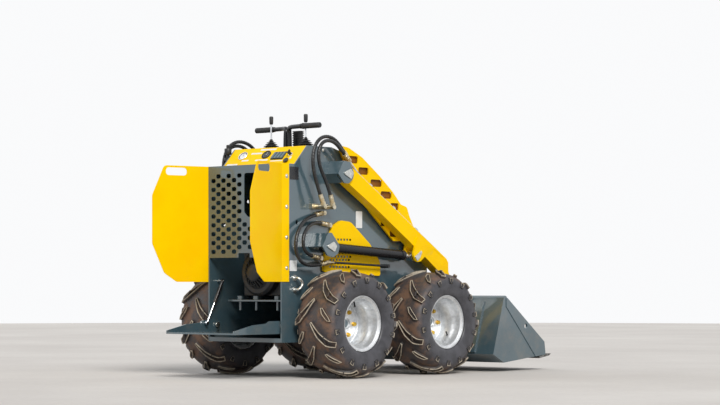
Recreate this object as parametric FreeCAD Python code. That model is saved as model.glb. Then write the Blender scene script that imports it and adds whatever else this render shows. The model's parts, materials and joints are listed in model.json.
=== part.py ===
# Mini skid steer loader on four wheels, with a radial lift arm and a bucket.
# Millimetres. X points to the machine's right, Y forward, Z up.
# The model is drawn from the rear axle's middle on the floor, then moved so that
# the floor point below the middle of its box is the origin.
import FreeCAD, Part

import math
import os

from FreeCAD import Vector

os.makedirs("parts", exist_ok=True)

# Fits and running gaps
PIN_FIT = 0.3
SEAT = 0.3
ROD_FIT = 0.6

# Wheels
WHEELBASE = 688.0
TRACK = 840.0
TYRE_DIAMETER = 559.0
TYRE_WIDTH = 262.0
LUG_HEIGHT = 17.0
LUG_COUNT = 7
KITE_HEIGHT = 14.0
BLOCK_HEIGHT = 11.0
WALL_LUG = 5.0
LUG_ROOT = 8.0
RIM_FLANGE_RADIUS = 143.0
RIM_HALF_WIDTH = 109.0
RIM_SHEET = 4.0
DISC_INSET = 5.0
DISC_THICKNESS = 7.0
HUB_RADIUS = 62.0
HUB_DEPTH = 61.0
HUB_SPOOL_RADIUS = 45.0
HUB_HOLE_RADIUS = 29.0
DISC_DISH = 18.0
WHEEL_BOLT_CIRCLE = 60.0
WHEEL_BOLT_PHASE = 22.0
WHEEL_BOLT_COUNT = 5
WHEEL_BOLT_RADIUS = 9.0
AXLE_RADIUS = 20.0
MOTOR_RADIUS = 58.0
MOTOR_FLANGE = 160.0
MOTOR_FLANGE_THICKNESS = 12.0

# Body
BODY_HALF_WIDTH = 260.0
SIDE_SHEET = 8.0
BODY_REAR = -316.0
NOSE_AHEAD = 162.0
BODY_FLOOR = 184.0
BODY_SHOULDER = 1092.0
DECK_RISE = 98.0
SIDE_HOLES = (((-23.0, 919.0), 9.0), ((-201.0, 795.0), 11.0))
COVER_SHEET = 5.0
COVER_DROP = 30.0
BELLY_LIP = 22.0
NOSE_DROP = 100.0
DASH_SHEET = 4.0
SCREEN_SHEET = 3.0
SCREEN_FOOT = 617.0
SCREEN_HOLE_WIDTH = 30.0
SCREEN_HOLE_HEIGHT = 18.0
SCREEN_HOLE_RISE = 46.0
SCREEN_COLUMNS = (-223.0, -187.0, -151.0, -113.0, -75.0, -37.0, 1.0, 39.0)
SCREEN_WINDOW_X = (-2.0, 200.0)
SCREEN_WINDOW_SILL = 267.0
SCREEN_WINDOW_HEAD = 42.0
SCREEN_NOTCH_X = (-43.0, 37.0)
SCREEN_NOTCH_RISE = 23.0
FLAP_SHEET = 4.0
FLAP_LENGTH = 328.0
FLAP_FLARE = 15.0
FLAP_FOOT = 492.0
FLAP_FLANGE = 55.0
FLAP_BOLT_COUNT = 4
VENT_HEIGHT = 14.0
VENT_SHEET = 3.0
SHELF_SHEET = 9.0
SHELF_TOP = 400.0
MOUNT_RADIUS = 19.0
MOUNT_BOLT_RADIUS = 8.0
MOUNT_BOLT_DROP = 46.0
SHELF_REAR = -255.0
SHELF_FRONT = 300.0
MOUNT_HEIGHT = 20.0

# Engine
ENGINE_MIDDLE_X = 20.0
ENGINE_WIDTH = 290.0
ENGINE_HEIGHT = 230.0
ENGINE_REAR = -190.0
ENGINE_FRONT = 230.0
FAN_HOUSING_RADIUS = 120.0
FAN_HOUSING_DEPTH = 52.0
FAN_CONE_RADIUS = 88.0
FAN_CONE_DEPTH = 34.0
FAN_SLOT_COUNT = 20

# Lift arm
ARM_PIVOT = (81.0, 1050.0)
ARM_PIN_RADIUS = 17.0
ARM_INNER = 285.0
ARM_WIDTH = 60.0
ARM_HUB_RADIUS = 46.0
GUSSET_SHEET = 8.0
SLOT_HEIGHT = 38.0
CROSS_TUBE_RADIUS = 25.0
CROSS_TUBE_PLACE = (635.0, 865.0)
BUCKET_PIVOT = (WHEELBASE + 342.0, 140.0)
LOWER_TUBE_PLACE = (BUCKET_PIVOT[0] - 20.0, 200.0)
LOWER_TUBE_RADIUS = 22.0
BRACKET_OUTER = 362.0
BRACKET_SHEET = 10.0
BRACKET_WALL = 8.0
PIPE_RADIUS = 6.0
LUG_PLATE_SHEET = 10.0
POCKET_DEPTH = 2.0
CAP_SIZE = 48.0
CAP_THICKNESS = 6.0

# Lift cylinders
LIFT_FOOT = (-49.0, 672.0)
LIFT_HEAD = (WHEELBASE - 38.0, 632.0)
LIFT_BARREL_RADIUS = 25.0
LIFT_ROD_SHOWN = 74.0
LIFT_STROKE = 365.0
LIFT_ROD_RADIUS = 14.0
LIFT_EYE_RADIUS = 28.0
LIFT_EYE_WIDTH = 40.0
LIFT_PIN_RADIUS = 15.0

# Tilt cylinder
TILT_FOOT = (682.0, 906.0)
TILT_HEAD = (BUCKET_PIVOT[0] + 25.0, 281.0)
TILT_BARREL_RADIUS = 30.0
TILT_ROD_SHOWN = 128.0
TILT_STROKE = 215.0
TILT_RETRACT = 60.0
TILT_ROD_RADIUS = 15.0
TILT_EYE_RADIUS = 27.0
TILT_EYE_WIDTH = 36.0
TILT_PIN_RADIUS = 14.0
EAR_SHEET = 10.0
TILT_EAR_RADIUS = 24.0
EAR_GAP = 5.0

# Bucket and its quick plate
BUCKET_HALF_WIDTH = 550.0
BUCKET_SHEET = 6.0
BUCKET_SIDE_SHEET = 8.0
CHEEK_STRIP = 4.0
BUCKET_PIN_RADIUS = 15.0
LEG_END_RADIUS = 35.0
QUICK_PLATE_HALF_WIDTH = 420.0
QUICK_PLATE_SHEET = 10.0
QUICK_EAR_RADIUS = 32.0
EDGE_LENGTH = 110.0
CHEEK_HOLE = (BUCKET_PIVOT[0] + 336.0, 248.0)
CHEEK_HOLE_RADIUS = 14.0
EDGE_THICKNESS = 12.0

# Operator's platform
PLATFORM_PIVOT = (-284.0, 270.0)
PLATFORM_REAR = -640.0
PLATFORM_HALF_WIDTH = 240.0
PLATFORM_SHEET = 8.0
PLATFORM_FLOOR = 236.0
PLATFORM_BOSS_RADIUS = 24.0
PLATFORM_PIN_RADIUS = 9.0
STRUT_FOOT = (-258.0, 498.0)
STRUT_HEAD = (-372.0, 279.0)
STRUT_X = -214.0
STRUT_TUBE_RADIUS = 9.0
STRUT_TUBE_LENGTH = 126.0
STRUT_ROD_RADIUS = 4.0
STRUT_EYE_RADIUS = 9.0
STRUT_EYE_WIDTH = 12.0

# Controls
STICK_X = 123.0
STICK_Y = 10.0
STICK_RISE = 177.0
STICK_ROD_RADIUS = 5.0
STICK_KNOB_RADIUS = 11.0
HANDLE_RADIUS = 13.0
GRIP_RADIUS = 15.0
HANDLE_RISE = 110.0
HANDLE_REACH = 268.0
HANDLE_STAGGER = 45.0
HANDLE_POST_X = 15.0
GAUGE_RADIUS = 27.0
BREATHER_BOX = (36.0, 76.0, 41.0, 66.0, 94.0)

# Hoses
HOSE_RADIUS = 9.5
FITTING_RADIUS = 12.0
ELBOW_REACH = 30.0
PIPE_END = (470.0, 576.0)

BODY_FRONT = WHEELBASE + NOSE_AHEAD
DECK_TOP = BODY_SHOULDER + DECK_RISE
STICK_TOP = DECK_TOP + STICK_RISE
HANDLE_HEIGHT = DECK_TOP + HANDLE_RISE
FAN_MIDDLE_HEIGHT = SHELF_TOP + MOUNT_HEIGHT + FAN_HOUSING_RADIUS
LIFT_BARREL_LENGTH = math.dist(LIFT_FOOT, LIFT_HEAD) - LIFT_ROD_SHOWN
TILT_BARREL_LENGTH = math.dist(TILT_FOOT, TILT_HEAD) - TILT_ROD_SHOWN
SIDES = (("right", 1.0), ("left", -1.0))
AXLES = (("rear", 0.0), ("front", WHEELBASE))
ARM_OUTER = ARM_INNER + ARM_WIDTH
ARM_MIDDLE = ARM_INNER + ARM_WIDTH / 2
WHEEL_RADIUS = TYRE_DIAMETER / 2
SHELL_INNER = BODY_HALF_WIDTH - SIDE_SHEET

nodes = {}


def fused(shapes):
    """One solid from several that overlap or share a face."""
    whole = shapes[0].multiFuse(shapes[1:]) if len(shapes) > 1 else shapes[0]
    return whole.removeSplitter()


def apart(shapes):
    """Several solids of one node that don't touch."""
    return Part.makeCompound(shapes)


def mirrored(shape):
    """The same shape on the other side of the machine's middle."""
    return shape.mirror(Vector(0, 0, 0), Vector(1, 0, 0))


def on_side(shape, side):
    return shape if side > 0 else mirrored(shape)


def outline(points, place):
    """A closed wire through (a, b) or (a, b, corner radius) points.

    place turns a pair into a point in space. A corner with a radius gets an arc
    that touches both of its edges.
    """
    count = len(points)
    ends = []
    for index, point in enumerate(points):
        here = Vector(point[0], point[1], 0)
        radius = point[2] if len(point) > 2 else 0
        if not radius:
            ends.append((here, None, here))
            continue
        before = Vector(*points[index - 1][:2], 0) - here
        after = Vector(*points[(index + 1) % count][:2], 0) - here
        before.normalize()
        after.normalize()
        half = before.getAngle(after) / 2
        back = radius / math.tan(half)
        middle = before + after
        middle.normalize()
        crown = here + middle * (radius / math.sin(half) - radius)
        ends.append((here + before * back, crown, here + after * back))
    edges = []
    for index, (enter, crown, leave) in enumerate(ends):
        if crown is not None:
            arc = Part.Arc(*(place(p.x, p.y) for p in (enter, crown, leave)))
            edges.append(arc.toShape())
        follow = ends[(index + 1) % count][0]
        if (follow - leave).Length > 1e-6:
            edges.append(Part.LineSegment(place(leave.x, leave.y), place(follow.x, follow.y)).toShape())
    return Part.Wire(edges)


def side_slab(points, inner, outer):
    """A profile in the Y-Z plane, as thick as the span from inner to outer along X."""
    wire = outline(points, lambda y, z: Vector(inner, y, z))
    return Part.Face(wire).extrude(Vector(outer - inner, 0, 0))


def rear_slab(points, rear, front):
    """A profile in the X-Z plane, from rear to front along Y."""
    wire = outline(points, lambda x, z: Vector(x, rear, z))
    return Part.Face(wire).extrude(Vector(0, front - rear, 0))


def block(low, high):
    size = [b - a for a, b in zip(low, high)]
    return Part.makeBox(*size, Vector(*low))


def rod(start, end, radius):
    axis = Vector(*end) - Vector(*start)
    return Part.makeCylinder(radius, axis.Length, Vector(*start), axis)


def across(place, inner, outer, radius):
    """A round bar along X at (y, z)."""
    return rod((inner, *place), (outer, *place), radius)


def turned(profile, place, direction):
    """A revolved solid: profile rows are (distance along the axis, radius)."""
    wire = Part.makePolygon([Vector(r, 0, a) for a, r in profile + profile[:1]])
    solid = Part.Face(wire).revolve(Vector(0, 0, 0), Vector(0, 0, 1), 360)
    solid.Placement = FreeCAD.Placement(Vector(*place), FreeCAD.Rotation(Vector(0, 0, 1), Vector(*direction)))
    return solid


def bent_tube(points, radius):
    """A round tube on straight runs joined by arcs that touch them."""
    runs = [Vector(*p) for p in points]
    edges = []
    here = runs[0]
    for before, corner, after in zip(runs, runs[1:], runs[2:]):
        back, ahead = before - corner, after - corner
        shorter = min(back.Length, ahead.Length)
        back.normalize()
        ahead.normalize()
        half = back.getAngle(ahead) / 2
        reach = 0.45 * shorter
        middle = back + ahead
        middle.normalize()
        bend = reach * math.tan(half)
        crown = corner + middle * (bend / math.sin(half) - bend)
        enter, leave = corner + back * reach, corner + ahead * reach
        edges.append(Part.LineSegment(here, enter).toShape())
        edges.append(Part.Arc(enter, crown, leave).toShape())
        here = leave
    edges.append(Part.LineSegment(here, runs[-1]).toShape())
    start = runs[1] - runs[0]
    ring = Part.Wire(Part.makeCircle(radius, runs[0], start))
    return Part.Wire(edges).makePipeShell([ring], True, False)


def slotted_hole(middle, length, height):
    """A flat cutter with round ends in the Y-Z plane, through the whole width."""
    y, z = middle
    half, end = length / 2, height / 2
    corners = [(y - half, z - end, end * 0.6), (y + half, z - end, end * 0.6)]
    corners += [(y + half, z + end, end * 0.6), (y - half, z + end, end * 0.6)]
    return side_slab(corners, -BUCKET_HALF_WIDTH, BUCKET_HALF_WIDTH)


def toward(start, end, distance):
    """The point that lies distance from start on the way to end, in Y-Z."""
    length = math.dist(start, end)
    return tuple(a + (b - a) * distance / length for a, b in zip(start, end))


def offset_aside(start, end, distance):
    """A sideways step, to the left of the way from start to end, in Y-Z."""
    length = math.dist(start, end)
    return (-(end[1] - start[1]) * distance / length, (end[0] - start[0]) * distance / length)


# Tyre and rim
TYRE_HALF = TYRE_WIDTH / 2
CARCASS_HALF = TYRE_HALF - WALL_LUG
CARCASS_RADIUS = WHEEL_RADIUS - LUG_HEIGHT
BEAD_RADIUS = RIM_FLANGE_RADIUS - 12
BEAD_HALF = RIM_HALF_WIDTH - 10

# Outer line of one half of the carcass, from the crown outwards: (across, radius)
TREAD_LINE = (
    (0.0, CARCASS_RADIUS),
    (CARCASS_HALF * 0.4, CARCASS_RADIUS),
    (CARCASS_HALF - 34, CARCASS_RADIUS - 5),
    (CARCASS_HALF - 14, CARCASS_RADIUS - 16),
    (CARCASS_HALF - 2, CARCASS_RADIUS - 38),
    (CARCASS_HALF, BEAD_RADIUS + 66),
)

# Tread blocks as stations from the tyre's middle outwards. A station is the two
# edges of the block, each as (run across from the crown, run ahead round the tyre).
LONG_LUG = (
    ((-6.0, 62.0), (4.0, 70.0)),
    ((34.0, -8.0), (48.0, 20.0)),
    ((76.0, -52.0), (100.0, -26.0)),
    ((118.0, -68.0), (128.0, -40.0)),
)
KITE_LUG = (
    ((50.0, 20.0), (64.0, 22.0)),
    ((62.0, -10.0), (100.0, -22.0)),
    ((94.0, -44.0), (112.0, -46.0)),
)
BLOCK_LUG = (
    ((132.0, -14.0), (132.0, 16.0)),
    ((158.0, -12.0), (158.0, 14.0)),
)

# Each pitch of the tread: (shape, share of the pitch ahead, height)
TREAD = (
    (LONG_LUG, 0.0, LUG_HEIGHT),
    (KITE_LUG, 0.5, KITE_HEIGHT),
    (BLOCK_LUG, 0.05, BLOCK_HEIGHT),
    (BLOCK_LUG, 0.55, BLOCK_HEIGHT),
)


def over_carcass(run, ahead, height):
    """A point at a height over the carcass, from its run across and its run ahead."""
    left = abs(run)
    for start, end in zip(TREAD_LINE, TREAD_LINE[1:]):
        length = math.dist(start, end)
        if left <= length:
            break
        left -= length
    way = ((end[0] - start[0]) / length, (end[1] - start[1]) / length)
    x = min(start[0] + way[0] * left - way[1] * height, TYRE_HALF)
    radius = min(start[1] + way[1] * left + way[0] * height, WHEEL_RADIUS)
    turn = ahead / CARCASS_RADIUS
    return Vector(math.copysign(x, run), radius * math.sin(turn), radius * math.cos(turn))


def lug(shape, side, ahead, height):
    """A tread block on its root in the carcass, skinned with flat facets."""
    rings = []
    for station in shape:
        levels = ((station[0], -LUG_ROOT), (station[1], -LUG_ROOT), (station[1], height), (station[0], height))
        rings.append([over_carcass(side * run, start + ahead, level) for (run, start), level in levels])
    corners = []
    for near, far in zip(rings, rings[1:]):
        for i in range(4):
            j = (i + 1) % 4
            corners += [(near[i], near[j], far[j]), (near[i], far[j], far[i])]
    for ring in (rings[0], rings[-1]):
        corners += [(ring[0], ring[1], ring[2]), (ring[0], ring[2], ring[3])]
    faces = [Part.Face(Part.makePolygon([a, b, c, a])) for a, b, c in corners]
    solid = Part.Solid(Part.makeShell(faces))
    if solid.Volume < 0:
        solid.reverse()
    return solid


def tyre():
    """Carcass with its beads, and the chevron tread with its two halves staggered."""
    section = [
        (-BEAD_HALF + 1, BEAD_RADIUS + SEAT),
        (BEAD_HALF - 1, BEAD_RADIUS + SEAT),
        (BEAD_HALF + 3, RIM_FLANGE_RADIUS + 2 * SEAT),
        (BEAD_HALF + 11, RIM_FLANGE_RADIUS + 2.5),
        (CARCASS_HALF - 7, BEAD_RADIUS + 35),
    ]
    section += reversed(TREAD_LINE[1:])
    section += [(-a, r) for a, r in reversed(section[2:])]
    body = turned(section, (0, 0, 0), (1, 0, 0))
    pitch = 2 * math.pi * CARCASS_RADIUS / LUG_COUNT
    lugs = []
    for side in (1, -1):
        stagger = 0.5 if side < 0 else 0.0
        for index in range(LUG_COUNT):
            for shape, share, height in TREAD:
                lugs.append(lug(shape, side, pitch * (index + stagger + share), height))
    return fused([body] + lugs)


def rim():
    """Deep dish rim with its drive hub; outboard is +X."""
    flange, wide, sheet = RIM_FLANGE_RADIUS, RIM_HALF_WIDTH, RIM_SHEET
    bead = BEAD_RADIUS
    well = bead - 16
    outer = [(wide, flange), (BEAD_HALF + 4, flange), (BEAD_HALF, bead), (70, bead - 3), (45, well)]
    outer += [(-a, r) for a, r in reversed(outer)]
    inner = [(-wide, flange - sheet), (-BEAD_HALF - sheet, flange - sheet), (-BEAD_HALF, bead - sheet)]
    inner += [(-70, bead - 3 - sheet), (-42, well - sheet), (45, well - sheet)]
    inner += [(70, bead - 3 - sheet), (BEAD_HALF, bead - sheet), (BEAD_HALF + sheet, flange - sheet)]
    inner += [(wide, flange - sheet)]
    barrel = turned(outer + inner, (0, 0, 0), (1, 0, 0))
    back = -DISC_INSET - DISC_THICKNESS
    dish = back - DISC_DISH
    disc = [
        (back - HUB_DEPTH, AXLE_RADIUS + PIN_FIT),
        (back - HUB_DEPTH, HUB_SPOOL_RADIUS),
        (back - 10, HUB_SPOOL_RADIUS),
        (back - 10, HUB_RADIUS + 12),
        (back, HUB_RADIUS + 12),
        (back, HUB_RADIUS + 15),
        (dish, well - 12),
        (dish, well - sheet / 2),
        (dish + DISC_THICKNESS, well - sheet / 2),
        (dish + DISC_THICKNESS, well - 9),
        (-DISC_INSET, HUB_RADIUS + 18),
        (-DISC_INSET, HUB_HOLE_RADIUS + 5),
        (-DISC_INSET + 2, HUB_HOLE_RADIUS + 4),
        (-DISC_INSET + 2, HUB_HOLE_RADIUS),
        (back, HUB_HOLE_RADIUS),
        (back, AXLE_RADIUS + PIN_FIT),
    ]
    plate = turned(disc, (0, 0, 0), (1, 0, 0))
    bolts = []
    for index in range(WHEEL_BOLT_COUNT):
        angle = math.radians(WHEEL_BOLT_PHASE + 360.0 * index / WHEEL_BOLT_COUNT)
        place = (WHEEL_BOLT_CIRCLE * math.sin(angle), WHEEL_BOLT_CIRCLE * math.cos(angle))
        bolts.append(across(place, -DISC_INSET - 2, -DISC_INSET + 9, WHEEL_BOLT_RADIUS))
    return fused([barrel, plate] + bolts)


def make_wheels():
    right_tyre, right_rim = tyre(), rim()
    motors = []
    hub_back = TRACK / 2 - DISC_INSET - DISC_THICKNESS - HUB_DEPTH
    for name, y in AXLES:
        for side_name, side in SIDES:
            centre = Vector(side * TRACK / 2, y, WHEEL_RADIUS)
            for piece, shape in (("tyre", right_tyre), ("rim", right_rim)):
                placed = on_side(shape, side)
                placed = placed.translated(centre)
                nodes[f"{piece}_{name}_{side_name}"] = placed
            axle = (y, WHEEL_RADIUS)
            casing = across(axle, BODY_HALF_WIDTH, hub_back - 3, MOTOR_RADIUS)
            half = MOTOR_FLANGE / 2
            flange = block(
                (BODY_HALF_WIDTH, y - half, WHEEL_RADIUS - half),
                (BODY_HALF_WIDTH + MOTOR_FLANGE_THICKNESS, y + half, WHEEL_RADIUS + half),
            )
            shaft = across(axle, hub_back - 5, hub_back + HUB_DEPTH + 4, AXLE_RADIUS)
            motors.append(on_side(fused([casing, flange, shaft]), side))
    nodes["wheel_motors"] = apart(motors)


# Body shell: side profile points (y, z, corner radius) from the rear foot upwards
DASH_FOOT = (-216.0, BODY_SHOULDER)
DASH_HEAD = (-124.0, DECK_TOP)
DECK_FRONT = (65.0, DECK_TOP)
CROWN = (162.0, DECK_TOP - 25)
BROW = (173.0, DECK_TOP - 53)
NOSE = (BODY_FRONT, 620.0)


def side_plates():
    profile = [
        (BODY_REAR, BODY_FLOOR, 6),
        (BODY_REAR, BODY_SHOULDER),
        DASH_FOOT,
        DASH_HEAD,
        DECK_FRONT,
        (*CROWN, 12),
        (*BROW, 12),
        (*NOSE, 40),
        (BODY_FRONT, BODY_FLOOR, 30),
    ]
    plate = side_slab(profile, SHELL_INNER, BODY_HALF_WIDTH)
    for place, radius in SIDE_HOLES:
        plate = plate.cut(across(place, SHELL_INNER - 5, BODY_HALF_WIDTH + 5, radius))
    for side_name, side in SIDES:
        nodes[f"side_plate_{side_name}"] = on_side(plate, side)


def shell_covers():
    """Belly with its front wall, the sloping front cover and the deck."""
    wide = SHELL_INNER
    sheet = COVER_SHEET
    nose_top = NOSE[1] - NOSE_DROP
    belly = [
        (BODY_REAR, BODY_FLOOR),
        (BODY_FRONT, BODY_FLOOR, 20),
        (BODY_FRONT, nose_top),
        (BODY_FRONT - sheet, nose_top),
        (BODY_FRONT - sheet, BODY_FLOOR + sheet, 20 - sheet),
        (BODY_REAR + sheet, BODY_FLOOR + sheet),
        (BODY_REAR + sheet, BODY_FLOOR + BELLY_LIP),
        (BODY_REAR, BODY_FLOOR + BELLY_LIP),
    ]
    nodes["belly_pan"] = side_slab(belly, -wide, wide)
    crest = (BROW[0], BROW[1] - COVER_DROP)
    slope = [
        crest,
        (BODY_FRONT - sheet - SEAT, nose_top - 6),
        (BODY_FRONT - sheet - SEAT, nose_top - 6 - 1.3 * sheet),
        (crest[0], crest[1] - 1.3 * sheet),
    ]
    nodes["front_cover"] = side_slab(slope, -wide, wide)
    deck = [
        (DASH_HEAD[0] + 6, DASH_HEAD[1]),
        DECK_FRONT,
        (*CROWN, 12),
        BROW,
        (BROW[0], BROW[1] - COVER_DROP + SEAT),
        (BROW[0] - sheet, BROW[1] - COVER_DROP + SEAT),
        (BROW[0] - sheet, BROW[1] - 2),
        (CROWN[0] - sheet, CROWN[1] - sheet, 8),
        (DECK_FRONT[0], DECK_FRONT[1] - sheet),
        (DASH_HEAD[0] + 6, DASH_HEAD[1] - sheet),
    ]
    nodes["deck"] = side_slab(deck, -wide, wide)
    dash = [
        (BODY_REAR + SCREEN_SHEET + SEAT, BODY_SHOULDER),
        DASH_FOOT,
        (*DASH_HEAD, 6),
        (DASH_HEAD[0] + 6 - SEAT, DASH_HEAD[1]),
        (DASH_HEAD[0] + 6 - SEAT, DASH_HEAD[1] - DASH_SHEET),
        (DASH_FOOT[0] + 2, DASH_FOOT[1] - DASH_SHEET),
        (BODY_REAR + SCREEN_SHEET + SEAT, BODY_SHOULDER - DASH_SHEET),
    ]
    nodes["console"] = side_slab(dash, -wide, wide)


def rear_screen():
    """Perforated sheet with staggered oval holes, a window and a notch at its foot."""
    wide = SHELL_INNER
    rear, front = BODY_REAR, BODY_REAR + SCREEN_SHEET
    corners = [(-wide, SCREEN_FOOT), (wide, SCREEN_FOOT), (wide, BODY_SHOULDER), (-wide, BODY_SHOULDER)]
    sheet = rear_slab(corners, rear, front)
    left, right = SCREEN_WINDOW_X
    sill, head = BODY_SHOULDER - SCREEN_WINDOW_SILL, BODY_SHOULDER - SCREEN_WINDOW_HEAD
    corners = [(left, sill + 25, 12), (left + 27, sill, 12), (right, sill, 12), (right, head, 12), (left, head, 12)]
    window = rear_slab(corners, rear - 1, front + 1)
    left, right = SCREEN_NOTCH_X
    top = SCREEN_FOOT + SCREEN_NOTCH_RISE
    notch = rear_slab([(left, SCREEN_FOOT - 1), (right, SCREEN_FOOT - 1), (right, top, 5), (left, top, 5)], rear - 1, front + 1)
    cutters = [window, notch]
    for index, x in enumerate(SCREEN_COLUMNS):
        z = SCREEN_FOOT + 31 + (0 if index % 2 == 0 else SCREEN_HOLE_RISE / 2)
        beside_window = x < SCREEN_WINDOW_X[0] - SCREEN_HOLE_WIDTH
        highest = BODY_SHOULDER - 56 if beside_window else sill - 25
        while z <= highest:
            clear_of_notch = not (left - 20 < x < right + 20 and z < top + 20)
            if clear_of_notch:
                cutters.append(screen_hole(x, z))
            z += SCREEN_HOLE_RISE
    nodes["rear_screen"] = sheet.cut(cutters)


def screen_hole(x, z):
    half, end, tall = SCREEN_HOLE_WIDTH / 2 - 2, SCREEN_HOLE_WIDTH / 2 - 8, SCREEN_HOLE_HEIGHT / 2
    points = [(x - half, z), (x - end, z - tall), (x + end, z - tall)]
    points += [(x + half, z), (x + end, z + tall), (x - end, z + tall)]
    return rear_slab(points, BODY_REAR - 1, BODY_REAR + SCREEN_SHEET + 1)


def flaps():
    """Guards beside the operator: a flange on the side plate and a flared leaf."""
    leaf = [
        (0, FLAP_FOOT),
        (0, BODY_SHOULDER),
        (-FLAP_LENGTH + 70, BODY_SHOULDER, 24),
        (-FLAP_LENGTH, BODY_SHOULDER - 155, 40),
        (-FLAP_LENGTH, FLAP_FOOT + 197, 40),
        (-FLAP_LENGTH + 70, FLAP_FOOT + 46, 30),
        (-FLAP_LENGTH + 143, FLAP_FOOT, 30),
    ]
    panel = side_slab(leaf, 0, FLAP_SHEET)
    slot = slotted_hole((-0.57 * FLAP_LENGTH, BODY_SHOULDER - 25), 106, 32)
    panel = panel.cut(slot)
    hinge_line = Vector(BODY_HALF_WIDTH + SEAT, BODY_REAR - 3, 0)
    panel.rotate(Vector(0, 0, 0), Vector(0, 0, 1), FLAP_FLARE)
    panel.translate(hinge_line)
    flange = block(
        (hinge_line.x, hinge_line.y - 0.5, FLAP_FOOT),
        (hinge_line.x + FLAP_SHEET, hinge_line.y + FLAP_FLANGE, BODY_SHOULDER),
    )
    flap = fused([panel, flange])
    low, high = FLAP_FOOT + 70, BODY_SHOULDER - 65
    heads = []
    for index in range(FLAP_BOLT_COUNT):
        z = low + (high - low) * index / (FLAP_BOLT_COUNT - 1)
        heads.append(across((BODY_REAR + 33, z), hinge_line.x + FLAP_SHEET - 1, hinge_line.x + FLAP_SHEET + 5, 8))
    flap = fused([flap] + heads)
    for side_name, side in SIDES:
        nodes[f"flap_{side_name}"] = on_side(flap, side)


def engine():
    """Plain engine block on its shelf, with the recoil starter's ribbed cone behind."""
    mid, deck = ENGINE_MIDDLE_X, SHELF_TOP + MOUNT_HEIGHT
    wide, under = SHELL_INNER, SHELF_TOP - SHELF_SHEET
    shelf = block((-wide, SHELF_REAR, under), (wide, SHELF_FRONT, SHELF_TOP))
    shelf = shelf.cut(block((-wide - 1, SHELF_REAR - 1, under - 1), (-175, SHELF_REAR + 90, SHELF_TOP + 1)))
    pieces = [shelf]
    for x in (mid - ENGINE_WIDTH / 2, mid - 30, mid + ENGINE_WIDTH / 2 - 25):
        for y in (SHELF_REAR + 40, SHELF_FRONT - 80):
            pieces.append(rod((x, y, SHELF_TOP + SEAT), (x, y, deck - SEAT), MOUNT_RADIUS))
            pieces.append(rod((x, y, under - MOUNT_BOLT_DROP), (x, y, under - SEAT), MOUNT_BOLT_RADIUS))
    nodes["engine_shelf"] = apart(pieces)
    half = ENGINE_WIDTH / 2
    nodes["engine"] = block((mid - half, ENGINE_REAR, deck), (mid + half, ENGINE_FRONT, deck + ENGINE_HEIGHT))
    place = (mid, ENGINE_REAR - SEAT, FAN_MIDDLE_HEIGHT)
    rim, depth = FAN_HOUSING_RADIUS, FAN_HOUSING_DEPTH
    shroud = turned([(0, 0), (0, rim), (depth - 12, rim), (depth, rim - 14), (depth, 0)], place, (0, -1, 0))
    start, end = depth - 1, depth - 1 + FAN_CONE_DEPTH
    profile = [(start, 0), (start, FAN_CONE_RADIUS), (end, 42), (end + 4, 30), (end + 4, 0)]
    cone = turned(profile, place, (0, -1, 0))
    slot = block((mid + 46, place[1] - end - 10, place[2] - 4), (mid + 80, place[1] - start - 3, place[2] + 4))
    slots = []
    for index in range(FAN_SLOT_COUNT):
        cutter = slot.copy()
        cutter.rotate(Vector(mid, 0, place[2]), Vector(0, 1, 0), 360.0 * index / FAN_SLOT_COUNT)
        slots.append(cutter)
    nodes["fan_housing"] = fused([shroud, cone.cut(slots)])


def arm_brackets():
    """Boxes welded to the side plates: each has an outer plate and a slanted wall."""
    upper = [(3, 1048), (47, 1116), (95, 1111, 8), (135, 1039, 42), (84, 999, 30), (47, 1002, 10)]
    lower = [(-119, 672), (-76, 742), (-48, 743, 8), (14, 677, 20), (0, 636, 18), (-41, 617, 16), (-84, 628, 10)]
    boxes = []
    for points, place, radius in ((upper, ARM_PIVOT, ARM_PIN_RADIUS), (lower, LIFT_FOOT, LIFT_PIN_RADIUS)):
        low, high = points[:2]
        face = side_slab(points, BRACKET_OUTER - BRACKET_SHEET, BRACKET_OUTER)
        y, z = offset_aside(low, high, -BRACKET_WALL)
        wall = [low, high, (high[0] + y, high[1] + z), (low[0] + y, low[1] + z)]
        box = fused([face, side_slab(wall, BODY_HALF_WIDTH, BRACKET_OUTER - BRACKET_SHEET)])
        boxes.append(box.cut(across(place, BODY_HALF_WIDTH, BRACKET_OUTER + 5, radius + PIN_FIT)))
    for side_name, side in SIDES:
        nodes[f"pivot_brackets_{side_name}"] = on_side(apart(boxes), side)


KEEPER = ((-1.0, 0.05), (0.38, -0.58), (0.76, 0.08), (0.28, 0.56))
HEAD_KEEPER = ((0.6, 0.63), (0.75, 0.42), (0.35, -0.25), (-0.13, -0.6), (-0.54, -0.08))


def pin_cap(place, start, shape=KEEPER, corner=0.18):
    """A keeper plate with rounded corners on a pin's outer end."""
    y, z = place
    points = [(y + a * CAP_SIZE, z + b * CAP_SIZE, corner * CAP_SIZE) for a, b in shape]
    return side_slab(points, start, start + CAP_THICKNESS)


def body_pins():
    pins = []
    for place, radius in ((ARM_PIVOT, ARM_PIN_RADIUS), (LIFT_FOOT, LIFT_PIN_RADIUS)):
        shaft = across(place, BODY_HALF_WIDTH, BRACKET_OUTER, radius)
        cap = pin_cap(place, BRACKET_OUTER)
        for _, side in SIDES:
            pins.append(on_side(fused([shaft, cap]), side))
    nodes["body_pins"] = apart(pins)


# Ends of the beam's straight top edge
BEAM_CREST = (157.0, 1069.0)
BEAM_END = (BUCKET_PIVOT[0] - 116, 620.0)


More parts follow.
